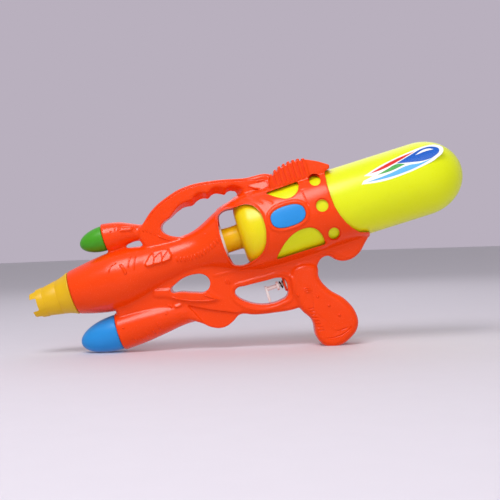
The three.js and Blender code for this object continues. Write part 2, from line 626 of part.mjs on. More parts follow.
function valveBlock() {
  const plateFront = PUMP_REAR + FIT;
  const plateRear = plateFront + BLOCK_PLATE;
  const across = [-BLOCK_HALF, BLOCK_HALF];
  const armBottom = PUMP_Z + PUMP_RADIUS + FIT;
  const channelX = plateFront + BLOCK_PLATE / 2;
  const sockets = [-VALVE_Y, VALVE_Y].flatMap((y) => [
    rod(BLOCK_FRONT - FIT, VALVE_REAR + VALVE_TAIL_LENGTH + FIT, VALVE_TAIL + FIT, VALVE_Z, y, 12),
    rod(BLOCK_FRONT, channelX, CHANNEL_RADIUS, VALVE_Z, y, 8),
  ]);
  return block([plateFront, plateRear], across, [BLOCK_BOTTOM, BLOCK_TOP])
    .add(block([BLOCK_FRONT, plateRear], across, [armBottom, BLOCK_TOP]))
    .subtract(union([
      ...sockets,
      post(CHANNEL_RADIUS, -VALVE_Y, VALVE_Y, [channelX, VALVE_Z], 8),
      upright(CHANNEL_RADIUS, PUMP_Z - CHANNEL_RADIUS, VALVE_Z, [channelX, 0], 8),
      rod(PUMP_REAR, channelX, CHANNEL_RADIUS, PUMP_Z, 0, 8),
    ]));
}

function nozzleCrown() {
  const rear = MUZZLE_X - FIT;
  const spigotRear = MUZZLE_X + CROWN_SPIGOT_LENGTH;
  const [bore, seat] = [JET_RADIUS + FIT, JET_FLANGE_X - FIT];
  const mouth = CROWN_TIP_RADIUS - CROWN_LIP;
  const cone = revolve([
    [CROWN_TIP_X, CROWN_TIP_RADIUS], [rear, CROWN_RADIUS], [rear, CROWN_SPIGOT],
    [spigotRear, CROWN_SPIGOT], [spigotRear, JET_FLANGE + FIT], [seat, JET_FLANGE + FIT], [seat, bore],
    [CROWN_WEB_X, bore], [CROWN_WEB_X, mouth], [CROWN_TIP_X, mouth], [CROWN_TIP_X, CROWN_TIP_RADIUS],
  ], MUZZLE_Z, 0, 24);
  const along = [CROWN_TIP_X - CROWN_LIP, NOTCH_FLOOR_X];
  const [slot, wide] = [NOTCH_WIDTH / 2, CROWN_RADIUS];
  return cone
    .subtract(block(along, [-wide, wide], [MUZZLE_Z - slot, MUZZLE_Z + slot]))
    .subtract(block(along, [-slot, slot], [MUZZLE_Z - wide, MUZZLE_Z + wide]));
}

function jetNozzle() {
  const barbRear = JET_BARB_X + BARB_LENGTH;
  return revolve([
    [JET_FRONT_X, JET_BORE], [JET_FRONT_X, JET_RADIUS], [JET_FLANGE_X, JET_RADIUS],
    [JET_FLANGE_X, JET_FLANGE], [JET_BARB_X, JET_FLANGE], [JET_BARB_X, BARB_RADIUS],
    [barbRear, BARB_RADIUS], [barbRear, JET_BORE], [JET_FRONT_X, JET_BORE],
  ], MUZZLE_Z);
}

function noseCap(cap) {
  const { rim, z, spigot, spigotLength } = cap;
  const edge = rim - FIT;
  const outer = bullet({ ...cap, rim: edge }, 0);
  const hollow = bullet({ ...cap, rim: edge, radius: spigot }, CAP_WALL).reverse();
  outer[0][1] = 0;
  hollow.at(-1)[1] = 0;
  return revolve([
    ...outer, [edge, spigot], [edge + spigotLength, spigot],
    [edge + spigotLength, spigot - CAP_WALL], ...hollow,
  ], z, 0, 20);
}

function screw(place) {
  const seat = SCREW_SEAT + FIT / 2;
  return post(SCREW_RADIUS, -SCREW_REACH, seat + SCREW_HEAD_THICK, place, 6)
    .add(post(SCREW_HEAD, seat, seat + SCREW_HEAD_THICK, place));
}

// Colours and finishes
const finish = (color, roughness, metalness = 0) =>
  new THREE.MeshStandardMaterial({ color, roughness, metalness });
const ORANGE = finish('#f34514', 0.3);
const LEMON = finish('#dde715', 0.28);
const GOLD = finish('#e6b707', 0.32);
const GREEN = finish('#52a728', 0.32);
const BLUE = finish('#2997e2', 0.3);
const WHITE = finish('#f0efec', 0.4);
const CLEAR_VINYL = finish('#dfe3df', 0.35);
const BLACK_STEEL = finish('#1c1c1e', 0.4, 0.8);
const RUBBER = finish('#222222', 0.8);
const STEEL = finish('#b4b6b8', 0.35, 1);

const squirter = new THREE.Group();

function add(name, body, material) {
  const mesh = new THREE.Mesh(geometryOf(body), material);
  mesh.name = name;
  squirter.add(mesh);
}

const whole = shell();
add('left_body_shell', whole.intersect(LEFT_SIDE), ORANGE);
add('right_body_shell', whole.intersect(RIGHT_SIDE), ORANGE);
add('water_tank', waterTank(), LEMON);
add('tank_neck_washer', ringOf(SOCKET_SEAT + FIT, SOCKET_SEAT + FIT + WASHER_THICK, NECK_RADIUS,
  WASHER_HOLE, TANK_Z), RUBBER);
add('tank_coupling', tankCoupling(), WHITE);
add('pickup_tube', ringOf(SOCKET_SEAT - PICKUP_INSERT + FIT, PICKUP_REAR, PICKUP_RADIUS, PICKUP_BORE,
  TANK_Z, 0, 12), CLEAR_VINYL);
add('suction_hose', sweep(SUCTION_ROUTE, HOSE_RADIUS, HOSE_BORE, 12, 8), CLEAR_VINYL);
add('delivery_hose', sweep(DELIVERY_ROUTE, HOSE_RADIUS, HOSE_BORE, 22, 8), CLEAR_VINYL);
add('pump_cylinder', pumpCylinder(), WHITE);
add('valve_block', valveBlock(), WHITE);
add('inlet_valve_body', valveBody(VALVE_Y, true), WHITE);
add('inlet_valve_ball', valveBall(VALVE_Y), STEEL);
add('outlet_valve_body', valveBody(-VALVE_Y, false), WHITE);
add('outlet_valve_ball', valveBall(-VALVE_Y), STEEL);
add('trigger', trigger(), WHITE);
add('piston_seal', ringOf(SEAL_X, SEAL_X + SEAL_THICK, PUMP_BORE - FIT, ROD_RADIUS + FIT / 2, PUMP_Z),
  RUBBER);
const springLine = springRoute();
add('trigger_spring', sweep(springLine, SPRING_WIRE / 2, 0, 8 * SPRING_TURNS + 2, 5), BLACK_STEEL);
add('nozzle_crown', nozzleCrown(), GOLD);
add('jet_nozzle', jetNozzle(), WHITE);
add('upper_nose_cap', noseCap(UPPER_CAP), GREEN);
add('lower_nose_cap', noseCap(LOWER_CAP), BLUE);
add('left_oval_inlay', ovalInlay(LEFT_SIDE), BLUE);
add('right_oval_inlay', ovalInlay(RIGHT_SIDE), BLUE);
SCREW_PLACES.forEach((place, i) => add(`shell_screw_${i + 1}`, screw(place), STEEL));

console.log(`trigger_spring least gap to itself ${leastSelfGap(springLine, SPRING_WIRE, 5).toFixed(2)} mm`);

// Stand the toy on the ground, centred over the origin
squirter.rotation.y = -LEAN;
const extent = new THREE.Box3().setFromObject(squirter, true);
squirter.position.set(-(extent.min.x + extent.max.x) / 2, -(extent.min.y + extent.max.y) / 2, -extent.min.z);

export default squirter;
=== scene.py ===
"""Looks of a toy water squirter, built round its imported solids.

Pieces are modelled in millimetres on the toy's own axes: x rearward along the barrel, y across with the
display side at -y, z up. Each one is then leaned back and set down where the solids stand.
"""

import json
import math

import bpy
from mathutils import Matrix, Vector
from mathutils.bvhtree import BVHTree


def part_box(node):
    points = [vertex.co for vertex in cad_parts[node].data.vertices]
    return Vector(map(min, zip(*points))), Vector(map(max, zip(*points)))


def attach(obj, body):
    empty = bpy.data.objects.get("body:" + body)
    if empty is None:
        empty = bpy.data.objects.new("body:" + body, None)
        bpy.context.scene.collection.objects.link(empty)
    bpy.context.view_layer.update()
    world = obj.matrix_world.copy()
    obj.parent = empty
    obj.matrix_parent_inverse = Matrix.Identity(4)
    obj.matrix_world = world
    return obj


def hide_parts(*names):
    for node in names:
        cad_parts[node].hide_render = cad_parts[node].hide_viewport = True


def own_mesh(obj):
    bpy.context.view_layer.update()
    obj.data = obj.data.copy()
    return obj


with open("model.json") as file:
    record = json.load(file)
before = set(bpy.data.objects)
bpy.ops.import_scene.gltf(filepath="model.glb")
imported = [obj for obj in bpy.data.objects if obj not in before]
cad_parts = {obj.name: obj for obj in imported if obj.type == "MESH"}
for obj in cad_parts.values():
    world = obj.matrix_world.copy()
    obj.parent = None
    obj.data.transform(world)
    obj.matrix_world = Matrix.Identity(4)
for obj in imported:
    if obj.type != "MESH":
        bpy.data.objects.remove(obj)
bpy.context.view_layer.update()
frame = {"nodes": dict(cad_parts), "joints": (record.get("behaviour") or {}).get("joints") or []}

# From the toy's own axes to the standing frame
MM = 0.001
FIRST_SCREW = (118, 40)
PULL_AXIS = Vector(next(j for j in frame["joints"] if j["name"] == "trigger_slide")["axis"])
LEAN = Matrix.Rotation(-math.atan2(PULL_AXIS.z, PULL_AXIS.x), 4, "Y")
screw_low, screw_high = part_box("shell_screw_1")
SEAT = (screw_low + screw_high) / 2 - LEAN @ Vector((FIRST_SCREW[0], 0, FIRST_SCREW[1])) * MM
SEAT.y = 0
STAND = Matrix.Translation(SEAT) @ LEAN @ Matrix.Scale(MM, 4)

# Sizes shared with the solids, in millimetres
WALL = 2.2
FIT = 0.3
BEYOND = 70
TANK_RADIUS, TANK_Z, TANK_FRONT, TANK_REAR = 36.8, 1.7, 200, 431.6
TANK_DOME, TANK_SHOULDER, TANK_WALL = 42, 15, 1.6
NECK_RADIUS, NECK_WALL, NECK_FRONT = 12.5, 2.4, 171.4
HOUSING = TANK_RADIUS + 1 + WALL
BULKHEAD_X, BULKHEAD_THICK, COUPLING_BORE = 178, 3, 15.2
MUZZLE_X, MUZZLE_Z = 24, -2
CROWN_TIP, CROWN_SPIGOT, NOTCH_FLOOR, NOTCH_WIDTH, JET_FRONT, JET_RADIUS = -18.5, 16.7, -12, 12.6, -5, 4.3
UPPER_CAP = {"tip": 44, "rim": 69.3, "z": 41, "radius": 12.6, "spigot": 9.6, "spigot_length": 5.5}
LOWER_CAP = {"tip": 16, "rim": 55.7, "z": -53, "radius": 17.8, "spigot": 13.4, "spigot_length": 6}
PUMP_Z, PUMP_FRONT, PUMP_REAR, PUMP_RADIUS = -57, 229, 256.1, 8.4
BOSS_FRONT, BOSS_RADIUS, SPRING_POCKET = 226.8, 7.6, 4.9
SPRING_FRONT, SPRING_REAR, SPRING_TURNS = 222.3, 240.7, 6
OVAL_X, OVAL_Z, OVAL_LENGTH, OVAL_HEIGHT, OVAL_PROUD = 250, 6, 34, 20, 1.4
SCREW_RADIUS, SCREW_HEAD, SCREW_HEAD_THICK, SCREW_REACH, SCREW_SEAT = 1.35, 2.9, 2, 7, 6
SCREWS = [FIRST_SCREW, (226, 47.5), (84, -32), (150, -58), (167.5, -45), (251, -79), (264, -113), (298, -46)]
HANDLE_HALF, WEB_HALF, GRIP_HALF, GILL_HALF = 11.5, 12.5, 16, 22
HANDLE_ROUND, WEB_ROUND, GRIP_ROUND, GILL_ROUND = 4.5, 3.5, 6, 1.2
GILL_RIBS, GILL_RIB_X, GILL_RIB_PITCH, GILL_RIB_WIDTH, GILL_RIB_PROUD = 8, 246.5, 5, 2.6, 1

# Coil, drawn heavier than the solid, and the share of its length that stays when it is pressed
SPRING_RADIUS, SPRING_WIRE, SPRING_KEPT = 3.35, 1.2, 0.49

# Trigger rod with its collar and finger plate
ROD_FRONT, ROD_REAR, ROD_RADIUS = 207.8, 246.1, 1.9
ROD_COLLAR_FRONT, ROD_COLLAR_REAR, ROD_COLLAR_RADIUS, ROD_COLLAR_EDGE = 219.6, 222, 4.4, 0.3
FINGER_LOW, FINGER_HIGH, FINGER_ROUND = (207.6, -4.5, -70), (210, 4.5, -54), 0.7

# Small forms and edges
SCREW_POINT, RECESS_HALF, RECESS_REACH = 1.4, 0.5, 1.6
TUBE_WEB_HALF, WEB_INSIDE_ROUND = 5, 1
GILL_SLOT_DEPTH = 1.3
SPEAR_PROUD, SPEAR_ROUND = 2, 1.6

# Crown, as x and radius from its tip to its foot
CROWN_MOUTH, CROWN_NOTCH_ROUND = 7, 1.4
CROWN_SIDE = [
    (-6, 15), (-5.2, 14.6), (8.6, 17.2), (9.3, 16.9), (10, 17.4), (15, 18.6), (19, 20), (22.8, 21.7),
    (23.5, 21.5), (23.7, 20.8),
]

# Bores along the barrel, as two ends, radius and height
BORES = [
    (0, MUZZLE_X + 2 * WALL, CROWN_SPIGOT + FIT, MUZZLE_Z),
    (UPPER_CAP["tip"], UPPER_CAP["rim"] + 2 * WALL, UPPER_CAP["spigot"] + FIT, UPPER_CAP["z"]),
    (LOWER_CAP["tip"], LOWER_CAP["rim"] + 2 * WALL, LOWER_CAP["spigot"] + FIT, LOWER_CAP["z"]),
    (BOSS_FRONT - WALL, PUMP_FRONT + FIT, SPRING_POCKET, PUMP_Z),
    (PUMP_FRONT - FIT, PUMP_REAR + FIT, PUMP_RADIUS + FIT, PUMP_Z),
    (BULKHEAD_X - WALL, TANK_FRONT, COUPLING_BORE, TANK_Z),
]

# Hulls, as stations of x, top, bottom and half width
BARREL = [
    (MUZZLE_X, 20, -24, 22), (40, 22.6, -28.6, 25.6), (55, 24.8, -31.6, 28), (70, 26, -32, 29),
    (88, 25, -29.5, 27.4), (108, 21.5, -25, 23.6), (130, 20, -21, 21), (146, 19.8, -20, 20.6),
    (158, 21.6, -21, 22), (168, 25.5, -23.5, 25.4), (178, 30.4, -27, 29.4), (188, 34.8, -31.4, 33.4),
    (200, 38.8, -35.2, 37.2), (214, TANK_Z + HOUSING, TANK_Z - HOUSING, HOUSING),
    (323.5, TANK_Z + HOUSING, TANK_Z - HOUSING, HOUSING),
]
UPPER_TUBE = [
    (69.6, 55.6, 25.6, 14.2), (82, 53.6, 25.8, 13.2), (90, 51.4, 27.8, 11.8), (100, 46.8, 28.4, 9.8),
    (107, 43.6, 25.2, 9), (114, 41, 19.6, 8.6), (124, 34, 8, 8),
]
LOWER_TUBE = [
    (56, -34, -72.4, 19.2), (80, -34.4, -71.2, 18.4), (100, -36, -68.8, 17), (120, -40, -66.2, 14),
    (140, -46, -66, 11), (166, -52, -63, 8),
]

# Outlines in the side view, as x and z
TUBE_WEB = [(73, 20), (73, 32), (79, 33), (84, 32), (86, 20)]
HANDLE = [
    (104, 36), (112, 43.6), (124, 53.2), (140, 60.4), (162, 65.4), (190, 63), (220, 56), (250, 49),
    (252, 34), (205, 28), (150, 8), (118, 4), (106, 20),
]
HANDLE_FLOOR = [
    (130, 37), (127, 32), (130, 26), (139, 20.6), (150, 16), (160, 17), (170, 21), (178, 26),
    (188, 30.4), (200, 33.6), (212, 38),
]
SCALLOP_CUSPS = [(209, 45), (197, 46), (180.5, 47.3), (164, 45), (140, 40)]
SCALLOP_RISE = 3
NEAR_CUSPS = [(218, 45.4), (200.7, 52.3), (182, 53), (164.7, 51.4), (140, 41)]
NEAR_RISE = 3.6
WEB = [
    (66, -16), (66, -50), (112, -56), (137, -69), (146, -76.4), (157, -80), (168, -77), (176, -72.6),
    (190, -77), (206, -80.6), (238, -83.4), (258, -76), (262.4, -60), (265, -48.6), (276, -43),
    (286, -51), (296, -53.6), (306, -51), (315, -43.6), (322, -33.4), (308, -22), (220, -18),
    (170, -10), (110, -8),
]
TEARDROP = [
    (118, -29.6), (126, -23.4), (136, -20.6), (146, -20.8), (153, -23), (157.6, -29), (156.6, -36),
    (150, -40.4), (140, -38), (128, -33.4),
]
TRIGGER_HOLE = [
    (178, -51), (181, -46.8), (190, -46.8), (210, -48), (225, -49.4), (229, -52), (229, -64),
    (227, -68.6), (220, -71.2), (208, -71.4), (196, -68), (186, -62), (179.4, -55),
]
GRIP = [
    (238, -46), (235, -84), (243, -100), (242.4, -118), (249.4, -129.2), (260, -132), (275, -127.4),
    (284, -120), (287, -108), (281, -90), (268, -74.6), (262.4, -60), (264, -51), (256, -44),
]
GILL = [
    (243.4, 36.8), (244.4, 46), (252, 52.6), (266, 56.4), (277, 56.2), (290, 51.4), (302, 44),
    (306, 40.4), (303, 37.6), (294, 36.8),
]
COLLAR_CUT = [
    (304, 39), (298.4, 37), (295.6, 25), (295, 12), (295.6, 1), (298, -8), (302, -17), (307, -24),
    (313, -30), (322.6, -33.2), (380, -33.2), (380, 70), (307.4, 70),
]
NECK_WINDOW = [
    (184, 24), (187, 29), (204, 30), (217, 28.6), (224.6, 20), (226.4, 8), (224.6, -5), (219, -17),
    (210, -23.4), (187, -24.6), (184, -20),
]
UPPER_CRESCENT = [(236, 34.4), (270, 35.6), (268, 28.4), (263, 24), (255.6, 22.4), (247, 26)]
LOWER_CRESCENT = [
    (278, -31), (227, -31), (234, -23), (242, -16.4), (251, -11.8), (262, -10.2), (270, -12.4), (275, -18),
]
SINK_WIDTH, SINK_DEPTH = 1.4, 1
PORTHOLES = [(286, 31.4, 5.5), (284.4, 5.6, 6), (288, -23.4, 5.5)]

# Label on the tank, as x and the way round the tank: a water drop with a tail of stripes
LABEL_EDGE = [
    (327, 12), (346, 8.8), (368, 8.8), (388, 11), (404, 14.6), (413.6, 22), (410, 30), (398, 34), (385, 33),
    (368, 30), (350, 26), (332, 20), (340, 17), (330, 15),
]
LABEL_DROP = [
    (366, 22.6), (380, 18.8), (392, 16.4), (403.6, 17.8), (409.8, 23), (406, 29), (396, 31.4), (382, 27.4),
]
LABEL_GLINT = [(386, 25), (394, 28.6), (401, 28.4), (405, 25.4), (400.6, 26), (394, 26)]
LABEL_RED = [(338, 20.4), (352, 21), (370, 25), (388, 30.8), (370, 28.6), (352, 24.4)]
LABEL_GREEN = [(344, 16.6), (358, 16.4), (374, 18.8), (366, 21.8), (356, 19.6)]
LABEL_SKY = [
    (333, 12.6), (350, 10.8), (370, 10.8), (388, 13), (402, 16.4), (388, 15), (376, 16.6), (356, 14),
]
LABEL_LIFT = 0.06
LABEL_STRIPS = range(8, 36)

# Stretch of the bottle over which the painted reflection of the orange shell fades in towards the neck
GLOW_PAINT_FROM, GLOW_PAINT_TO = 236, 190

# Raised forms that flow into the shell
SPEAR = [
    (100, -27), (112.9, -34.7), (128.5, -43.6), (145.1, -49.7), (163, -52.6), (154, -43), (150, -36),
    (136, -30), (118, -27),
]
GUARD_LIP = [
    (174.6, -51), (178.6, -44.4), (190, -43.6), (210, -44.4), (226, -45.6), (234.6, -51), (236.6, -58),
    (234, -67), (229, -73.4), (220, -75.6), (207, -76), (194, -72.6), (183, -66), (176, -57),
]
UNDER_RIDGE = [(160, -27.8), (179.6, -29), (199.3, -29.6), (219, -30)]
TENDONS = [
    [(204, 36), (212, 38.6), (220, 39.4)], [(214, 35), (224, 29.5), (230.7, 23.5)],
    [(229, 31), (235, 26.4), (240, 21.6)],
]
LEAF = [
    (102.5, 2.6), (109.5, 9.9), (114.8, 13.4), (122.9, 12.9), (128.7, 11.1), (130.3, 3.3), (128.2, -0.2),
    (120.7, -1.1), (112.4, -0.5), (104, -0.5),
]
TUBE_PAD = [(89.5, 46.5), (101.2, 43.5), (99.2, 38.9), (87.5, 41.6)]
LOWER_PAD = [(115.8, -42.2), (124.4, -44.3), (124.2, -46.9), (117.4, -47.4)]
HANDLE_PAD = [(212, 55), (243, 47.6), (243.4, 40), (236, 38), (228, 41.4), (217, 49.4)]
FIN_STEP = [(129, -47.6), (150, -59), (176, -70.8), (180, -92), (134, -92), (139, -68)]
FIN_DEPTH = 10

# Small marks that stand on the shell
STUDS = [
    (78.9, 44.8, 1.3), (166.9, -15.4, 1.2), (167.8, 13.9, 1.1), (63.2, -49.7, 1.4), (107.4, -49.2, 1.3),
    (237, -71.1, 1.5), (254.9, -78.5, 1.5), (263.1, -90.3, 1.6), (269.9, -102.3, 1.7),
]
STROKES = [
    [(84.4, 50), (83, 44)], [(87.4, 48.4), (86, 43)],
    [(92.2, 15.3), (88.8, 10.6), (86.3, 4.7)], [(96.5, 14), (93.8, 8.5), (91.1, 0.1)],
    [(66.8, 5.8), (70.6, 11.2), (76.9, 13.3)], [(122, 27), (127.5, 22.4), (134, 17.9)],
    [(111.6, -40.9), (112.4, -44.5)], [(113.6, -42.1), (114.2, -46.2)],
    [(173.2, -35), (173, -40)], [(176.6, -35), (175.4, -41)],
    [(244.1, -66.2), (250.8, -68.1)], [(243.6, -68.2), (251.5, -70.4)], [(244.8, -70.4), (249.9, -72)],
    [(116, -34.9), (129.5, -42.3), (145.5, -48.2), (160, -51.4)], [(160, -51.4), (153.5, -46.8), (148, -43)],
    [(70.3, -62.5), (71.6, -66.8)], [(76.5, -61.5), (77.9, -67.5)], [(83, -59.9), (84.1, -66.8)],
    [(90.1, -58.2), (90.8, -66.3)], [(95.7, -54), (97.3, -64.4)],
]
STROKE_RADIUS, TICK_RADIUS = 0.9, 1
BROAD_STROKES = [[(79.7, 10.9), (82.1, 5.5), (82.9, -0.3)]]
TUBE_BUMPS = [(102.7, 41), (106.1, 38.3), (109.8, 36.4), (112.9, 34.7), (116.3, 32), (119.7, 29.3)]
TICKS, TICK_START, TICK_END, TICK_HALF = 13, 134, 177.6, 2.6
TICK_LOW_X, TICK_LOW_Z, TICK_BEND = 150, -4.3, 0.011

# Lines cut into the shell
ZIGZAG = [
    [(113.1, 14), (113.4, 6.2)], [(113, 6.4), (121.5, 10.6)], [(121.1, 10.8), (120.6, 2.8)],
    [(120.2, 3), (129, 10.2)], [(113.4, 6.8), (110.2, -1)], [(120.6, 3.4), (118, -2)],
]
GROOVES = [
    [(114, 41.5), (126, 51), (141.5, 57.8), (162, 62.4), (189.5, 60.2), (219.5, 53.2), (241, 48)],
    [(220.2, 48), (229.4, 40.2), (232.6, 38.6), (238, 39), (241.6, 40.6), (241.6, 44.6), (230, 47.6)],
    [(270.2, 27), (271, 18), (271.6, 9)],
    [(250.9, -120.5), (260.5, -122.2), (273.2, -119.7), (279, -116)], [(262, -117.1), (274.7, -116.5)],
]
GROOVE_RADIUS = 0.9
SERRATIONS, SERRATION_TOP, SERRATION_FOOT, SERRATION_LENGTH = 8, (242.6, -87), (245.8, -111), 5


def clear():
    """Object mode with nothing selected."""
    if bpy.context.object and bpy.context.object.mode != "OBJECT":
        bpy.ops.object.mode_set(mode="OBJECT")
    bpy.ops.object.select_all(action="DESELECT")


def take(piece):
    """The piece alone, selected and active."""
    clear()
    piece.select_set(True)
    bpy.context.view_layer.objects.active = piece
    return piece


def edit(piece):
    """Edit mode with all of the piece selected."""
    take(piece)
    bpy.ops.object.mode_set(mode="EDIT")
    bpy.ops.mesh.select_all(action="SELECT")


def closed(piece):
    """Merged vertices and faces that point outwards."""
    edit(piece)
    bpy.ops.mesh.remove_doubles(threshold=0.001)
    bpy.ops.mesh.normals_make_consistent(inside=False)
    clear()
    return piece


def finished(piece, kind, **settings):
    """A modifier, applied."""
    take(piece)
    modifier = piece.modifiers.new(kind, kind)
    for name, value in settings.items():
        setattr(modifier, name, value)
    bpy.ops.object.modifier_apply(modifier=modifier.name)
    return piece


def placed(piece, where):
    """Moved or turned, with the move applied."""
    piece.matrix_world = where
    take(piece)
    bpy.ops.object.transform_apply()
    return piece


def joined(pieces):
    """Pieces made one object, as they lie."""
    take(pieces[0])
    for piece in pieces:
        piece.select_set(True)
    bpy.ops.object.join()
    return pieces[0]


def combined(piece, tool, operation):
    """Piece after a boolean with a tool, which is used up."""
    finished(piece, "BOOLEAN", object=tool, operation=operation, solver="MANIFOLD")
    bpy.data.objects.remove(tool)
    return piece


def merged(pieces):
    """Pieces united into the first."""
    for piece in pieces[1:]:
        combined(pieces[0], piece, "UNION")
    return pieces[0]


def cut(piece, *tools):
    """Piece with the tools taken out of it."""
    return combined(piece, merged(tools), "DIFFERENCE")


def copy_of(piece, name):
    """Twin with a mesh of its own."""
    twin = piece.copy()
    twin.data = piece.data.copy()
    twin.name = name
    bpy.context.scene.collection.objects.link(twin)
    return twin


def mirrored(piece, name):
    """Twin on the other side."""
    return closed(placed(copy_of(piece, name), Matrix.Scale(-1, 4, (0, 1, 0))))


def both_sides(pieces):
    """Pieces of the display side, joined with their twins."""
    near = joined(pieces)
    return joined([near, mirrored(near, "far")])


def polished(piece, angle=35):
    """Smooth shading that keeps edges."""
    take(piece)
    bpy.ops.object.shade_smooth_by_angle(angle=math.radians(angle))
    return piece


def eased(stations, step):
    """Stations in between, on smooth curves through the given ones."""
    def slope(i, k):
        """Rise of one measure at a station."""
        before, after = stations[max(i - 1, 0)], stations[min(i + 1, len(stations) - 1)]
        return (after[k] - before[k]) / (after[0] - before[0])

    rings = []
    for i, (one, two) in enumerate(zip(stations, stations[1:])):
        span = two[0] - one[0]
        count = max(1, round(span / step))
        for n in range(count):
            t = n / count
            ring = [one[0] + span * t]
            for k in (1, 2, 3):
                rise = two[k] - one[k]
                leave, arrive = slope(i, k) * span, slope(i + 1, k) * span
                ring.append(one[k] + t * leave + t * t * (3 * rise - 2 * leave - arrive)
                            + t ** 3 * (leave + arrive - 2 * rise))
            rings.append(ring)
    return rings + [list(stations[-1])]


def hull(name, stations, step=4, sides=72, inset=0.0):
    """Tapering tube: an oval face drawn along the barrel and resized at each station."""
    rings = [(x, (top + bottom) / 2, (top - bottom) / 2 - inset, half - inset)
             for x, top, bottom, half in eased(stations, step)]
    clear()
    bpy.ops.mesh.primitive_circle_add(
        vertices=sides, radius=1, fill_type="NGON", rotation=(0, math.pi / 2, 0))
    piece = bpy.context.object
    piece.name = name
    bpy.ops.object.transform_apply()
    edit(piece)
    x, middle, tall, wide = rings[0]
    bpy.ops.transform.resize(value=(1, wide, tall), center_override=(0, 0, 0))
    bpy.ops.transform.translate(value=(x, 0, middle))
    for last, (x, middle, tall, wide) in zip(rings, rings[1:]):
        onward = (x - last[0], 0, middle - last[1])
        bpy.ops.mesh.extrude_region_move(TRANSFORM_OT_translate={"value": onward})
        bpy.ops.transform.resize(value=(1, wide / last[3], tall / last[2]), center_override=(x, 0, middle))
    return closed(piece)


def drawn(name, points, cyclic=True, corners=(), resolution=6):
    """Smooth curve through given points of the side view, lying flat, with some of them sharp."""
    curve = bpy.data.objects.new(name, bpy.data.curves.new(name, "CURVE"))
    bpy.context.scene.collection.objects.link(curve)
    spline = curve.data.splines.new("BEZIER")
    spline.bezier_points.add(len(points) - 1)
    spline.use_cyclic_u = cyclic
    for n, (knot, (x, z)) in enumerate(zip(spline.bezier_points, points)):
        knot.co = (x, z, 0)
        knot.handle_left_type = knot.handle_right_type = "VECTOR" if n in corners else "AUTO"
    curve.data.resolution_u = resolution
    return curve


def stood_up(curve):
    """A flat curve made a mesh and turned upright."""
    take(curve)
    bpy.ops.object.convert(target="MESH")
    return placed(bpy.context.object, Matrix.Rotation(math.pi / 2, 4, "X"))


def plate(name, points, half, rounding=0.0, grow=0.0, corners=()):
    """Flat outline thickened to both sides, with rounded edges."""
    curve = drawn(name, points, corners=corners)
    curve.data.dimensions = "2D"
    curve.data.fill_mode = "BOTH"
    curve.data.extrude = half - rounding
    curve.data.bevel_depth = rounding
    curve.data.bevel_resolution = 3
    curve.data.offset = grow - rounding
    return closed(stood_up(curve))


def hole(name, points, corners=(), grow=0.0):
    """Tool for an opening that goes right through."""
    return plate(name, points, BEYOND, grow=grow, corners=corners)


def wire(name, route, radius, cyclic=False, sides=3):
    """Round wire along a route of points in space."""
    curve = bpy.data.objects.new(name, bpy.data.curves.new(name, "CURVE"))
    bpy.context.scene.collection.objects.link(curve)
    curve.data.dimensions = "3D"
    spline = curve.data.splines.new("POLY")
    spline.points.add(len(route) - 1)
    spline.use_cyclic_u = cyclic
    for knot, place in zip(spline.points, route):
        knot.co = (*place, 1)
    curve.data.bevel_depth = radius
    curve.data.bevel_resolution = sides
    curve.data.use_fill_caps = True
    take(curve)
    bpy.ops.object.convert(target="MESH")
    return closed(bpy.context.object)


def turned(name, profile, z=0.0, steps=96):
    """Profile of x and radius, spun round an axis along the barrel."""
    corners = range(len(profile))
    piece = stood_up(drawn(name, [(x, z + radius) for x, radius in profile], False, corners, 1))
    edit(piece)
    bpy.ops.mesh.spin(steps=steps, angle=2 * math.pi, center=(0, 0, z), axis=(1, 0, 0))
    return closed(piece)


def rod(name, radius, start, end, sides=48):
    """Straight round bar between two points."""
    start, end = Vector(start), Vector(end)
    clear()
    bpy.ops.mesh.primitive_cylinder_add(
        vertices=sides, radius=radius, depth=(end - start).length, location=(start + end) / 2,
        rotation=(end - start).to_track_quat("Z", "Y").to_euler())
    bpy.context.object.name = name
    bpy.ops.object.transform_apply()
    return bpy.context.object


def block(name, low, high):
    """Box between two corners."""
    low, high = Vector(low), Vector(high)
    clear()
    bpy.ops.mesh.primitive_cube_add(size=1, location=(low + high) / 2, scale=high - low)
    bpy.context.object.name = name
    bpy.ops.object.transform_apply()
    return bpy.context.object


def gridded(piece, cuts=30):
    """Faces split into a grid, so that small faces close what the piece cuts off."""
    edit(piece)
    bpy.ops.mesh.subdivide(number_cuts=cuts)
    clear()
    return piece


def set_down(piece, name, body, slot, material, *nodes):
    """The finished piece, in its place on the standing toy."""
    piece.name = name
    placed(piece, STAND)
    piece.data.materials.clear()
    piece.data.materials.append(material)
    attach(piece, body)
    if nodes:
        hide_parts(*nodes)
    return piece


def linear(code):
    """sRGB hex colour as linear red, green, blue and alpha."""
    parts = [int(code[i:i + 2], 16) / 255 for i in (1, 3, 5)]
    return (*[c / 12.92 if c <= 0.04045 else ((c + 0.055) / 1.055) ** 2.4 for c in parts], 1)


def add_node(tree, kind, inputs, **settings):
    """A shader node with its settings, and values or links on its inputs."""
    made = tree.nodes.new("ShaderNode" + kind)
    for name, value in settings.items():
        setattr(made, name, value)
    for name, value in inputs.items():
        if isinstance(value, bpy.types.NodeSocket):
            tree.links.new(value, made.inputs[name])
        else:
            made.inputs[name].default_value = value
    return made


def per_mm(size):
    """Texture scale that gives features of this size in millimetres."""
    return 1 / (size * MM)


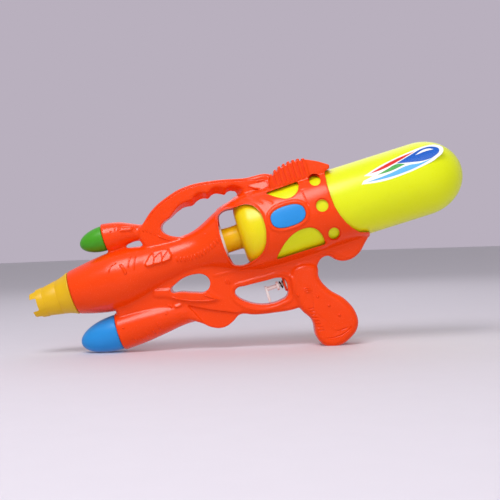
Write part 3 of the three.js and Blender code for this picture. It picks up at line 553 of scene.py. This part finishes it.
def moulded(name, colour, shade, roughness, ior=1.49, glow=0.0, flow=26, grain=0.9, grain_depth=0.012):
    """Moulded plastic: even colour with faint flow clouds, and a fine spark-eroded grain in the gloss."""
    material = bpy.data.materials.new(name)
    material.use_nodes = True
    tree = material.node_tree
    shader = tree.nodes["Principled BSDF"]
    where = add_node(tree, "TexCoord", {}).outputs["Object"]
    cloud = add_node(tree, "TexNoise", {"Vector": where, "Scale": per_mm(flow), "Detail": 3.0})
    tint = add_node(tree, "Mix", {"Factor": cloud.outputs["Fac"]}, data_type="RGBA")
    tint.inputs["A"].default_value = linear(shade)
    tint.inputs["B"].default_value = linear(colour)
    pits = add_node(tree, "TexNoise", {"Vector": where, "Scale": per_mm(grain), "Detail": 2.0})
    gloss = add_node(tree, "MapRange", {
        "Value": pits.outputs["Fac"], "From Min": 0.3, "From Max": 0.7,
        "To Min": roughness * 0.88, "To Max": roughness * 1.12})
    bump = add_node(tree, "Bump", {
        "Height": pits.outputs["Fac"], "Strength": 0.25, "Distance": grain_depth * MM})
    tree.links.new(tint.outputs["Result"], shader.inputs["Base Color"])
    tree.links.new(gloss.outputs["Result"], shader.inputs["Roughness"])
    tree.links.new(bump.outputs["Normal"], shader.inputs["Normal"])
    shader.inputs["IOR"].default_value = ior
    shader.inputs["Subsurface Weight"].default_value = glow
    shader.inputs["Subsurface Radius"].default_value = (0.004, 0.003, 0.002)
    shader.inputs["Subsurface Scale"].default_value = 0.6
    return material


def steel(name, colour, roughness, scratch=1.2):
    """Metal with fine uneven polish."""
    material = bpy.data.materials.new(name)
    material.use_nodes = True
    tree = material.node_tree
    shader = tree.nodes["Principled BSDF"]
    where = add_node(tree, "TexCoord", {}).outputs["Object"]
    marks = add_node(tree, "TexNoise", {"Vector": where, "Scale": per_mm(scratch), "Detail": 4.0})
    gloss = add_node(tree, "MapRange", {
        "Value": marks.outputs["Fac"], "To Min": roughness * 0.7, "To Max": roughness * 1.3})
    tree.links.new(gloss.outputs["Result"], shader.inputs["Roughness"])
    shader.inputs["Base Color"].default_value = linear(colour)
    shader.inputs["Metallic"].default_value = 1.0
    return material


def paint_shell_glow(material, colour):
    """Painted reflection of the shell's orange light, which turns the bottle's shoulder and neck golden."""
    tree = material.node_tree
    shader = tree.nodes["Principled BSDF"]
    where = add_node(tree, "TexCoord", {}).outputs["Object"]
    along = add_node(tree, "VectorMath", {0: where, 1: tuple(PULL_AXIS)}, operation="DOT_PRODUCT")
    front, rear = [(STAND @ Vector((x, 0, TANK_Z))).dot(PULL_AXIS) for x in (GLOW_PAINT_TO, GLOW_PAINT_FROM)]
    near = add_node(tree, "MapRange", {
        "Value": along.outputs["Value"], "From Min": rear, "From Max": front, "To Max": 0.85})
    plain = shader.inputs["Base Color"].links[0].from_socket
    # Painted reflected light: a golden tint mixed in, stronger towards the neck
    tint = add_node(tree, "Mix", {"Factor": near.outputs["Result"]}, data_type="RGBA")
    tint.inputs["B"].default_value = linear(colour)
    tree.links.new(plain, tint.inputs["A"])
    tree.links.new(tint.outputs["Result"], shader.inputs["Base Color"])


ORANGE = moulded("orange_polypropylene", "#f64604", "#f04003", 0.25)
LEMON = moulded("lemon_blown_polyethylene", "#e6ee0e", "#dfe70b", 0.3, 1.51, glow=0.1, flow=60)
# Painted reflection: the shoulder and neck are tinted golden as if lit by the orange shell
paint_shell_glow(LEMON, "#f2b400")
GOLD = moulded("golden_polypropylene", "#e8b806", "#deae04", 0.4)
GREEN = moulded("green_polypropylene", "#4aa51f", "#429b1c", 0.36)
BLUE = moulded("blue_polypropylene", "#2793e2", "#2089d6", 0.33)
WHITE = moulded("white_polypropylene", "#f1efec", "#e9e7e4", 0.38)
VINYL = moulded("clear_vinyl_hose", "#e3e8e3", "#d8ded9", 0.3, 1.53)
RUBBER = moulded("black_nitrile_rubber", "#262627", "#1d1d1e", 0.75, 1.52)
ZINC = steel("zinc_plated_steel", "#c3c6c9", 0.32)
BLACK_STEEL = steel("black_oxide_spring_steel", "#2b2b2e", 0.36)
INK_WHITE = moulded("white_printed_vinyl", "#f6f6f4", "#f2f2f0", 0.28)
INK_BLUE = moulded("blue_printed_vinyl", "#1c62c8", "#185abc", 0.28)
INK_SKY = moulded("sky_printed_vinyl", "#66b9f0", "#5cb0ea", 0.28)
INK_RED = moulded("red_printed_vinyl", "#de2f2a", "#d62924", 0.28)
INK_GREEN = moulded("green_printed_vinyl", "#3aa53f", "#339b39", 0.28)


def scallops(cusps, rise, steps=4):
    """Handle opening, with a finger scallop between each pair of cusps."""
    upper = []
    for (x0, z0), (x1, z1) in zip(cusps, cusps[1:]):
        for n in range(steps):
            t = n / steps
            upper.append((x0 + (x1 - x0) * t, z0 + (z1 - z0) * t + rise * math.sin(math.pi * t)))
    return HANDLE_FLOOR + upper + [cusps[-1]]


def scallop_funnel(side):
    """Tool for the handle opening: from the middle plane it widens upwards to one face of the handle."""
    depth = side * (HANDLE_HALF + FIT)
    loops = []
    for points, y in ((scallops(SCALLOP_CUSPS, SCALLOP_RISE), 0), (scallops(NEAR_CUSPS, NEAR_RISE), depth)):
        loop = stood_up(drawn("scallops", points, resolution=3))
        edit(loop)
        bpy.ops.transform.translate(value=(0, y, 0))
        bpy.ops.mesh.edge_face_add()
        clear()
        loops.append(loop)
    tool = joined(loops)
    edit(tool)
    bpy.ops.mesh.bridge_edge_loops()
    return closed(tool)


def oval(grow=0.0, count=28, squareness=2.5):
    """Outline of the oval inlay, a little squarer than an ellipse, or of its rim."""
    points = []
    for n in range(count):
        across, up = math.cos(2 * math.pi * n / count), math.sin(2 * math.pi * n / count)
        points.append((
            OVAL_X + (OVAL_LENGTH / 2 + grow) * math.copysign(abs(across) ** (2 / squareness), across),
            OVAL_Z + (OVAL_HEIGHT / 2 + grow) * math.copysign(abs(up) ** (2 / squareness), up)))
    return points


def skin_of(piece):
    """Lookup of a piece's outside."""
    mesh = piece.data
    return BVHTree.FromPolygons([v.co for v in mesh.vertices], [p.vertices for p in mesh.polygons])


def on_skin(skin, x, z, lift=0.0):
    """Place on the display side at x and z, lifted off the surface."""
    place, normal, *_ = skin.ray_cast(Vector((x, -BEYOND, z)), Vector((0, 1, 0)))
    if place is None:
        raise ValueError(f"no shell at {x:.1f}, {z:.1f}")
    return place + normal * lift


def bead(name, skin, points, radius, lift=0.0, cyclic=False, ends=-1.2):
    """Round bead that follows a line on the skin of the display side and sinks or rises at its ends."""
    route = stood_up(drawn(name, points, cyclic, resolution=5))
    line = [(v.co.x, v.co.z) for v in route.data.vertices]
    bpy.data.objects.remove(route)
    places = [on_skin(skin, x, z, lift) for x, z in line]
    if not cyclic:
        for n in (0, -1):
            places[n] = on_skin(skin, *line[n], lift + ends * radius)
    return wire(name, places, radius, cyclic)


def stud(skin, x, z, radius):
    """Round stud, partly sunk in the skin."""
    clear()
    bpy.ops.mesh.primitive_uv_sphere_add(
        segments=20, ring_count=10, radius=radius, location=on_skin(skin, x, z, -0.3 * radius))
    bpy.ops.object.transform_apply()
    return bpy.context.object


def pad(name, skin, points, tip, lift, half=2):
    """Flat panel that stands on the skin, tipped to face upwards by an angle."""
    x = sum(p[0] for p in points) / len(points)
    z = sum(p[1] for p in points) / len(points)
    panel = plate(name, [(a - x, b - z) for a, b in points], half, 0.4, corners=range(len(points)))
    place, normal, *_ = skin.ray_cast(Vector((x, -BEYOND, z)), Vector((0, 1, 0)))
    outwards = Vector((normal.x, -math.cos(math.radians(tip)), math.sin(math.radians(tip)))).normalized()
    turn = outwards.to_track_quat("-Y", "Z").to_matrix().to_4x4()
    return placed(panel, Matrix.Translation(place + outwards * (lift - half)) @ turn)


def shell_form():
    """Hulls and plates of the outer form, flowing into each other."""
    handle = cut(plate("handle", HANDLE, HANDLE_HALF, HANDLE_ROUND), scallop_funnel(-1), scallop_funnel(1))
    form = joined([
        hull("barrel", BARREL), hull("upper_tube", UPPER_TUBE, 3), hull("lower_tube", LOWER_TUBE), handle,
        plate("tube_web", TUBE_WEB, TUBE_WEB_HALF),
        plate("web", WEB, WEB_HALF, WEB_ROUND), plate("grip", GRIP, GRIP_HALF, GRIP_ROUND),
        plate("gill", GILL, GILL_HALF, GILL_ROUND),
        plate("spear", SPEAR, WEB_HALF + SPEAR_PROUD, SPEAR_ROUND, corners=(4,)),
    ])
    finished(form, "REMESH", mode="VOXEL", voxel_size=1)
    finished(form, "SMOOTH", factor=0.5, iterations=5)
    step = plate("fin_step", FIN_STEP, BEYOND, corners=range(len(FIN_STEP)))
    cut(step, block("fin", (100, -FIN_DEPTH, -100), (200, FIN_DEPTH, -40)))
    return cut(form, step)


def gill_slab(x, width, foot=0.0):
    """Upright slice through the gill, from its foot or above it."""
    return block("slab", (x - width / 2, -BEYOND, GILL[0][1] + foot), (x + width / 2, BEYOND, BEYOND))


def gill_ribs():
    """Upright ribs over the gill."""
    return [
        combined(plate("rib", GILL, GILL_HALF + GILL_RIB_PROUD, GILL_ROUND, GILL_RIB_PROUD),
                 gill_slab(GILL_RIB_X + n * GILL_RIB_PITCH, GILL_RIB_WIDTH), "INTERSECT")
        for n in range(GILL_RIBS)]


def gill_slots():
    """Slots between the ribs, from a little above the housing."""
    depth = GILL_SLOT_DEPTH
    width = GILL_RIB_PITCH - GILL_RIB_WIDTH
    slots = []
    for n in range(GILL_RIBS - 1):
        slot = gill_slab(GILL_RIB_X + (n + 0.5) * GILL_RIB_PITCH, width, 2 * depth)
        slots.append(cut(slot, plate("core", GILL, GILL_HALF - depth, GILL_ROUND, -depth)))
    return slots


def soft_relief(skin):
    """Raised forms that flow into the shell."""
    near = [
        bead("window_bead", skin, NECK_WINDOW, radius=2.3, lift=-1, cyclic=True),
        bead("oval_rim", skin, oval(grow=2.4), radius=1.9, lift=-0.7, cyclic=True),
        bead("guard_lip", skin, GUARD_LIP, radius=2.4, lift=-1.3, cyclic=True),
        bead("under_ridge", skin, UNDER_RIDGE, radius=1.8, lift=-1),
        *(bead("tendon", skin, line, radius=1.3, lift=-0.5) for line in TENDONS),
        pad("handle_pad", skin, HANDLE_PAD, tip=26, lift=0.8),
        pad("leaf", skin, LEAF, tip=28, lift=1.6),
        pad("tube_pad", skin, TUBE_PAD, tip=30, lift=1.2),
        pad("lower_pad", skin, LOWER_PAD, tip=28, lift=1.2),
    ]
    boss = rod("boss", BOSS_RADIUS, (BOSS_FRONT, 0, PUMP_Z), (PUMP_FRONT + WALL, 0, PUMP_Z))
    return [both_sides(near), *gill_ribs(), boss]


def crisp_relief(skin):
    """Small marks that stand on the shell."""
    marks = [stud(skin, *place) for place in STUDS]
    marks += [bead("stroke", skin, line, STROKE_RADIUS) for line in STROKES]
    marks += [bead("broad_stroke", skin, line, 2 * STROKE_RADIUS, -STROKE_RADIUS / 2)
              for line in BROAD_STROKES]
    marks += [bead("bump", skin, [(x - 0.5, z + 1.5), (x + 0.5, z - 1.5)], 0.7) for x, z in TUBE_BUMPS]
    for n in range(TICKS):
        x = TICK_START + (TICK_END - TICK_START) * n / (TICKS - 1)
        z = TICK_LOW_Z + TICK_BEND * (x - TICK_LOW_X) ** 2
        marks.append(bead("tick", skin, [(x, z + TICK_HALF), (x, z - TICK_HALF)], TICK_RADIUS))
    return both_sides(marks)


def engraving(skin):
    """Lines cut into the shell."""
    zigzag = merged([bead("zigzag", skin, line, GROOVE_RADIUS, 0.1, ends=1) for line in ZIGZAG])
    lines = [bead("groove", skin, line, GROOVE_RADIUS, 0.1, ends=1) for line in GROOVES]
    for n in range(SERRATIONS):
        t = n / (SERRATIONS - 1)
        x = SERRATION_TOP[0] + (SERRATION_FOOT[0] - SERRATION_TOP[0]) * t
        z = SERRATION_TOP[1] + (SERRATION_FOOT[1] - SERRATION_TOP[1]) * t
        line = [(x, z), (x + SERRATION_LENGTH, z - 1)]
        lines.append(bead("serration", skin, line, GROOVE_RADIUS, ends=0.8))
    return both_sides([zigzag, *lines])


def ground_block(level=0.0):
    """Everything below the ground, or below a level over it, on the toy's own axes."""
    return placed(block("ground", (-500, -BEYOND, -500), (500, BEYOND, level)),
                  STAND.inverted() @ Matrix.Scale(MM, 4))


def shell_skin():
    """Solid shell with its openings and its relief."""
    form = shell_form()
    skin = skin_of(form)
    cut(form, hole("teardrop", TEARDROP), hole("trigger_hole", TRIGGER_HOLE),
        hole("collar_cut", COLLAR_CUT, range(len(COLLAR_CUT))),
        hole("upper_crescent", UPPER_CRESCENT, (0, 1)), hole("lower_crescent", LOWER_CRESCENT, (0, 1)))
    joined([form, *soft_relief(skin)])
    finished(form, "REMESH", mode="VOXEL", voxel_size=0.65)
    finished(form, "SMOOTH", factor=0.5, iterations=9)
    finished(form, "DECIMATE", ratio=0.3)
    skin = skin_of(form)
    combined(form, crisp_relief(skin), "UNION")
    return cut(form, engraving(skin), *gill_slots(), hole("neck_window", NECK_WINDOW), ground_block())


def hollow():
    """Tool for the inside: chambers with the bulkhead between them, bores, seats and screw holes."""
    chamber = hull("chamber", [(MUZZLE_X + WALL, *BARREL[0][1:]), *BARREL[1:-1], (400, *BARREL[-1][1:])],
                   12, 48, WALL)
    cut(chamber, block(
        "bulkhead", (BULKHEAD_X, -BEYOND, -BEYOND), (BULKHEAD_X + BULKHEAD_THICK, BEYOND, BEYOND)))
    tubes = [hull("tube_inside", [(tube[0][0] + WALL, *tube[0][1:]), *tube[1:]], 12, 32, WALL)
             for tube in (UPPER_TUBE, LOWER_TUBE[:4])]
    web = plate("web_inside", WEB, WEB_HALF - 2 * WALL, WEB_INSIDE_ROUND, -2 * WALL)
    cut(web, hole("lining", TEARDROP, grow=2 * WALL), hole("lining", TRIGGER_HOLE, grow=WALL))
    grip = cut(plate("grip_inside", GRIP, GRIP_HALF - WALL, GRIP_ROUND - WALL, -WALL), ground_block(WALL))
    bores = [rod("bore", radius, (x0, 0, z), (x1, 0, z)) for x0, x1, radius, z in BORES]
    seat = hole("oval_seat", oval(FIT))
    ports = [rod("porthole", radius, (x, -BEYOND, z), (x, BEYOND, z)) for x, z, radius in PORTHOLES]
    sinks = [rod("sink", radius + SINK_WIDTH, (x, -BEYOND, z), (x, BEYOND, z)) for x, z, radius in PORTHOLES]
    cut(merged(sinks), rod("core", HOUSING - SINK_DEPTH, (260, 0, TANK_Z), (320, 0, TANK_Z), 128))
    holes = [rod("counterbore", SCREW_HEAD + FIT, (x, SCREW_SEAT, z), (x, BEYOND, z)) for x, z in SCREWS]
    return merged([chamber, *tubes, web, grip, *bores, seat, *ports, sinks[0], *holes])


def build_shell():
    """Both halves of the shell, parted along the middle."""
    left = cut(shell_skin(), hollow())
    right = copy_of(left, "right_shell")
    cut(left, gridded(block("side", (-100, -FIT / 2, -200), (500, BEYOND, 200))))
    cut(right, gridded(block("side", (-100, -BEYOND, -200), (500, FIT / 2, 200))))
    for half, side in ((left, "left"), (right, "right")):
        polished(half, 40)
        set_down(half, side + "_shell", "body", "shell_orange", ORANGE, side + "_body_shell")


def quarter(count, place):
    """Points along a quarter turn."""
    return [place(math.pi / 2 * n / count) for n in range(count + 1)]


def build_tank():
    """Blown bottle, spun: plain neck, square shoulder, long side and round dome."""
    def shoulder(inset):
        """Rounded front of the bottle, outside or inside."""
        return quarter(10, lambda a: (
            TANK_FRONT + inset + (TANK_SHOULDER - inset) * (1 - math.cos(a)),
            TANK_RADIUS - TANK_SHOULDER + (TANK_SHOULDER - inset) * math.sin(a)))

    def dome(inset):
        """Round rear of the bottle, outside or inside."""
        return quarter(20, lambda a: (
            TANK_REAR - TANK_DOME + (TANK_DOME - inset) * math.sin(a), (TANK_RADIUS - inset) * math.cos(a)))

    bore = NECK_RADIUS - NECK_WALL
    profile = [
        (NECK_FRONT, bore), (NECK_FRONT, NECK_RADIUS - 0.6), (NECK_FRONT + 0.6, NECK_RADIUS),
        (TANK_FRONT - 2, NECK_RADIUS), (TANK_FRONT - 0.6, NECK_RADIUS + 0.6), (TANK_FRONT, NECK_RADIUS + 2),
        *shoulder(0), *dome(0), *reversed(dome(TANK_WALL)), *reversed(shoulder(TANK_WALL)),
        (TANK_FRONT + TANK_WALL, bore), (NECK_FRONT, bore),
    ]
    tank = turned("tank", profile, TANK_Z, 128)
    set_down(polished(tank), "tank", "tank", "tank_lemon", LEMON, "water_tank")


def label_sheet(name, outline, corners, layer, slot, material):
    """Printed shape, cut into strips and wrapped round the display side of the tank."""
    curve = drawn(name, outline, corners=corners)
    curve.data.dimensions = "2D"
    curve.data.fill_mode = "BOTH"
    sheet = stood_up(curve)
    edit(sheet)
    bpy.ops.mesh.remove_doubles(threshold=0.001)
    for height in LABEL_STRIPS:
        bpy.ops.mesh.select_all(action="SELECT")
        bpy.ops.mesh.bisect(plane_co=(0, 0, height), plane_no=(0, 0, 1))
    clear()
    radius = TANK_RADIUS + layer * LABEL_LIFT
    for corner in sheet.data.vertices:
        angle = corner.co.z / TANK_RADIUS
        corner.co.y = -radius * math.cos(angle)
        corner.co.z = TANK_Z + radius * math.sin(angle)
    set_down(polished(sheet), name, "tank", slot, material)


def build_label():
    """Generic print: a blue drop with a glint, trailing red, green and sky stripes on a white ground."""
    label_sheet("label_edge", LABEL_EDGE, (0, 11, 12, 13), 1, "white_plastic", INK_WHITE)
    label_sheet("label_red", LABEL_RED, (0, 3), 2, "shell_orange", INK_RED)
    label_sheet("label_green", LABEL_GREEN, (0, 2), 2, "cap_green", INK_GREEN)
    label_sheet("label_sky", LABEL_SKY, (0, 4), 2, "cap_blue", INK_SKY)
    label_sheet("label_drop", LABEL_DROP, (0,), 3, "cap_blue", INK_BLUE)
    label_sheet("label_glint", LABEL_GLINT, (0, 3), 4, "white_plastic", INK_WHITE)


def build_crown():
    """Golden muzzle: a spun cone with a flared foot, a bore and four prongs."""
    crown = turned("crown", [
        (CROWN_TIP, CROWN_MOUTH), (CROWN_TIP, 12.7), (CROWN_TIP + 0.7, 13.4), *CROWN_SIDE,
        (23.7, CROWN_SPIGOT), (30.3, CROWN_SPIGOT), (30.3, 13), (4, 11), (2, JET_RADIUS + FIT),
        (JET_FRONT, JET_RADIUS + FIT), (JET_FRONT, CROWN_MOUTH), (CROWN_TIP, CROWN_MOUTH),
    ], MUZZLE_Z)
    for turn in (0, 90):
        slot = block("slot", (CROWN_TIP - 5, -NOTCH_WIDTH / 2, -30), (NOTCH_FLOOR, NOTCH_WIDTH / 2, 30))
        finished(slot, "BEVEL", width=CROWN_NOTCH_ROUND, segments=4, limit_method="ANGLE")
        where = Matrix.Translation((0, 0, MUZZLE_Z)) @ Matrix.Rotation(math.radians(turn), 4, "X")
        cut(crown, placed(slot, where))
    set_down(polished(crown), "crown", "body", "crown_gold", GOLD, "nozzle_crown")


def build_cap(name, cap, slot, material, node):
    """Bullet-shaped nose cap with a spigot in its tube."""
    length = cap["rim"] - cap["tip"]
    nose = quarter(24, lambda a: (cap["tip"] + length * (1 - math.cos(a)), cap["radius"] * math.sin(a)))
    profile = [
        *nose[:-1], (cap["rim"] - 0.5, cap["radius"]), (cap["rim"], cap["radius"] - 0.5),
        (cap["rim"], cap["spigot"]), (cap["rim"] + cap["spigot_length"], cap["spigot"]),
        (cap["rim"] + cap["spigot_length"], 0),
    ]
    set_down(polished(turned(name, profile, cap["z"])), name, "body", slot, material, node)


def build_ovals():
    """Domed blue oval, one on each side."""
    reach = OVAL_LENGTH
    band = turned("band", [
        (OVAL_X - reach, HOUSING - WALL), (OVAL_X - reach, HOUSING + OVAL_PROUD),
        (OVAL_X + reach, HOUSING + OVAL_PROUD), (OVAL_X + reach, HOUSING - WALL),
        (OVAL_X - reach, HOUSING - WALL)], TANK_Z, 160)
    left = combined(hole("left_oval", oval()), band, "INTERSECT")
    cut(left, block("side", (0, 0, -100), (500, 100, 100)))
    finished(left, "REMESH", mode="VOXEL", voxel_size=0.4)
    finished(left, "SMOOTH", factor=0.5, iterations=8)
    right = mirrored(left, "right_oval")
    for piece, side in ((left, "left"), (right, "right")):
        set_down(polished(piece, 60), side + "_oval", "body", "cap_blue", BLUE, side + "_oval_inlay")


def build_trigger():
    """White pull rod with its finger plate and collar."""
    front, rear, rim, edge = ROD_COLLAR_FRONT, ROD_COLLAR_REAR, ROD_COLLAR_RADIUS, ROD_COLLAR_EDGE
    stem = turned("stem", [
        (ROD_FRONT, 0), (ROD_FRONT, ROD_RADIUS), (front, ROD_RADIUS), (front, rim - edge),
        (front + edge, rim), (rear - edge, rim), (rear, rim - edge), (rear, ROD_RADIUS),
        (ROD_REAR, ROD_RADIUS), (ROD_REAR, 0)], PUMP_Z, 40)
    finger = block("finger", FINGER_LOW, FINGER_HIGH)
    finished(finger, "BEVEL", width=FINGER_ROUND, segments=3)
    trigger = combined(stem, finger, "UNION")
    set_down(polished(trigger), "trigger_pull", "trigger_unit", "white_plastic", WHITE, "trigger")


def build_spring(steps=28):
    """Black coil round the rod."""
    count = SPRING_TURNS * steps
    low, high = SPRING_FRONT + SPRING_WIRE / 2, SPRING_REAR - SPRING_WIRE / 2
    route = [(low + (high - low) * n / count,
              SPRING_RADIUS * math.cos(2 * math.pi * n / steps),
              PUMP_Z + SPRING_RADIUS * math.sin(2 * math.pi * n / steps)) for n in range(count + 1)]
    spring = polished(wire("spring", route, SPRING_WIRE / 2))
    set_down(spring, "return_spring", "body", "black_spring", BLACK_STEEL, "trigger_spring")
    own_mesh(spring)


def build_screws():
    """Pan-head screws with a cross recess, seen down the holes of the far side."""
    head = SCREW_HEAD_THICK
    model = turned("screw", [
        (-SCREW_SEAT - SCREW_REACH, 0), (-SCREW_SEAT - SCREW_REACH + SCREW_POINT, SCREW_RADIUS),
        (0, SCREW_RADIUS),
        (0, SCREW_HEAD), (0.4 * head, SCREW_HEAD), (0.8 * head, 0.75 * SCREW_HEAD), (head, 0.3 * SCREW_HEAD),
        (head, 0)], 0, 32)
    for wide, tall in ((RECESS_HALF, RECESS_REACH), (RECESS_REACH, RECESS_HALF)):
        cut(model, block("recess", (0.4 * head, -wide, -tall), (2 * head, wide, tall)))
    for n, (x, z) in enumerate(SCREWS):
        where = Matrix.Translation((x, SCREW_SEAT + FIT / 2, z)) @ Matrix.Rotation(math.pi / 2, 4, "Z")
        screw = polished(placed(copy_of(model, "screw"), where))
        set_down(screw, f"screw_{n + 1}", "body", "steel", ZINC, f"shell_screw_{n + 1}")
    bpy.data.objects.remove(model)


build_shell()
build_tank()
build_label()
build_crown()
build_cap("upper_cap", UPPER_CAP, "cap_green", GREEN, "upper_nose_cap")
build_cap("lower_cap", LOWER_CAP, "cap_blue", BLUE, "lower_nose_cap")
build_ovals()
build_trigger()
build_spring()
build_screws()

# Solids that show as they are
for nodes, material in (
    (("tank_coupling", "pump_cylinder", "valve_block", "inlet_valve_body", "outlet_valve_body"), WHITE),
    (("jet_nozzle",), WHITE),
    (("pickup_tube", "suction_hose", "delivery_hose"), VINYL),
    (("tank_neck_washer", "piston_seal"), RUBBER),
    (("inlet_valve_ball", "outlet_valve_ball"), ZINC),
):
    for node in nodes:
        frame["nodes"][node].data.materials.clear()
        frame["nodes"][node].data.materials.append(material)

# Stage, lights and the photograph's view, in metres
FLOOR_RADIUS, FLOOR_BACK = 4, 3.3
clear()
bpy.ops.mesh.primitive_circle_add(
    vertices=128, radius=FLOOR_RADIUS, fill_type="NGON", location=(0, FLOOR_BACK, 0))
floor = bpy.context.object
floor.name = "floor"
bpy.ops.object.transform_apply()
floor.data.materials.append(moulded("pale_cloth_floor", "#dbd4df", "#d8d1dc", 0.8))
# Out of the gloss, so that the colours keep their depth
floor.visible_glossy = False


def lamp(name, place, aim, size, power, glint=True):
    """Square soft lamp, with or without a highlight of its own."""
    clear()
    bpy.ops.object.light_add(type="AREA", location=place)
    light = bpy.context.object
    light.name = name
    light.data.size = size
    light.data.energy = power
    light.visible_glossy = glint
    light.rotation_euler = (aim - Vector(place)).to_track_quat("-Z", "Y").to_euler()


TARGET = Vector((0.0035, 0, 0.0975))
lamp("key", (-0.34, -0.76, 1.16), TARGET, 0.7, 10.4)
lamp("fill", (0.3, -1.7, 0.5), TARGET, 0.9, 8.6, glint=False)
lamp("back", (0.1, 0.9, 0.9), TARGET, 1.0, 2.5)

# Pale lavender behind the toy, a dim room in front that gloss reflects, and an even white fill
world = bpy.data.worlds.new("room")
bpy.context.scene.world = world
world.use_nodes = True
tree = world.node_tree
ray = add_node(tree, "LightPath", {})
towards = add_node(tree, "SeparateXYZ", {"Vector": add_node(tree, "TexCoord", {}).outputs["Generated"]})
behind = add_node(tree, "MapRange", {"Value": towards.outputs["Y"], "From Min": -0.3, "From Max": 0.5})
sharp = add_node(tree, "Math", {0: ray.outputs["Is Glossy Ray"], 1: ray.outputs["Is Transmission Ray"]},
                 operation="MAXIMUM")
room = add_node(tree, "Mix", {"Factor": behind.outputs["Result"]}, data_type="RGBA")
room.inputs["A"].default_value = linear("#2c2c2e")
room.inputs["B"].default_value = linear("#b9b0be")
fill = add_node(tree, "Mix", {"Factor": sharp.outputs["Value"]}, data_type="RGBA")
fill.inputs["A"].default_value = linear("#b8b8ba")
tree.links.new(room.outputs["Result"], fill.inputs["B"])
seen = add_node(tree, "Mix", {"Factor": ray.outputs["Is Camera Ray"]}, data_type="RGBA")
seen.inputs["B"].default_value = linear("#b9b0be")
tree.links.new(fill.outputs["Result"], seen.inputs["A"])
tree.links.new(seen.outputs["Result"], tree.nodes["Background"].inputs["Color"])

CAMERA_FAR, CAMERA_RISE, CAMERA_ROLL, CAMERA_LENS = 0.93, 0.5, 2.0, 66.7
rise = math.radians(CAMERA_RISE)
clear()
bpy.ops.object.camera_add(location=TARGET + Vector((0, -math.cos(rise), math.sin(rise))) * CAMERA_FAR)
camera = bpy.context.object
camera.data.lens = CAMERA_LENS
camera.data.sensor_width = 36
aim = (TARGET - camera.location).to_track_quat("-Z", "Y").to_matrix().to_4x4()
camera.rotation_euler = (aim @ Matrix.Rotation(math.radians(-CAMERA_ROLL), 4, "Z")).to_euler()
bpy.context.scene.camera = camera
bpy.context.scene.view_settings.view_transform = "Standard"
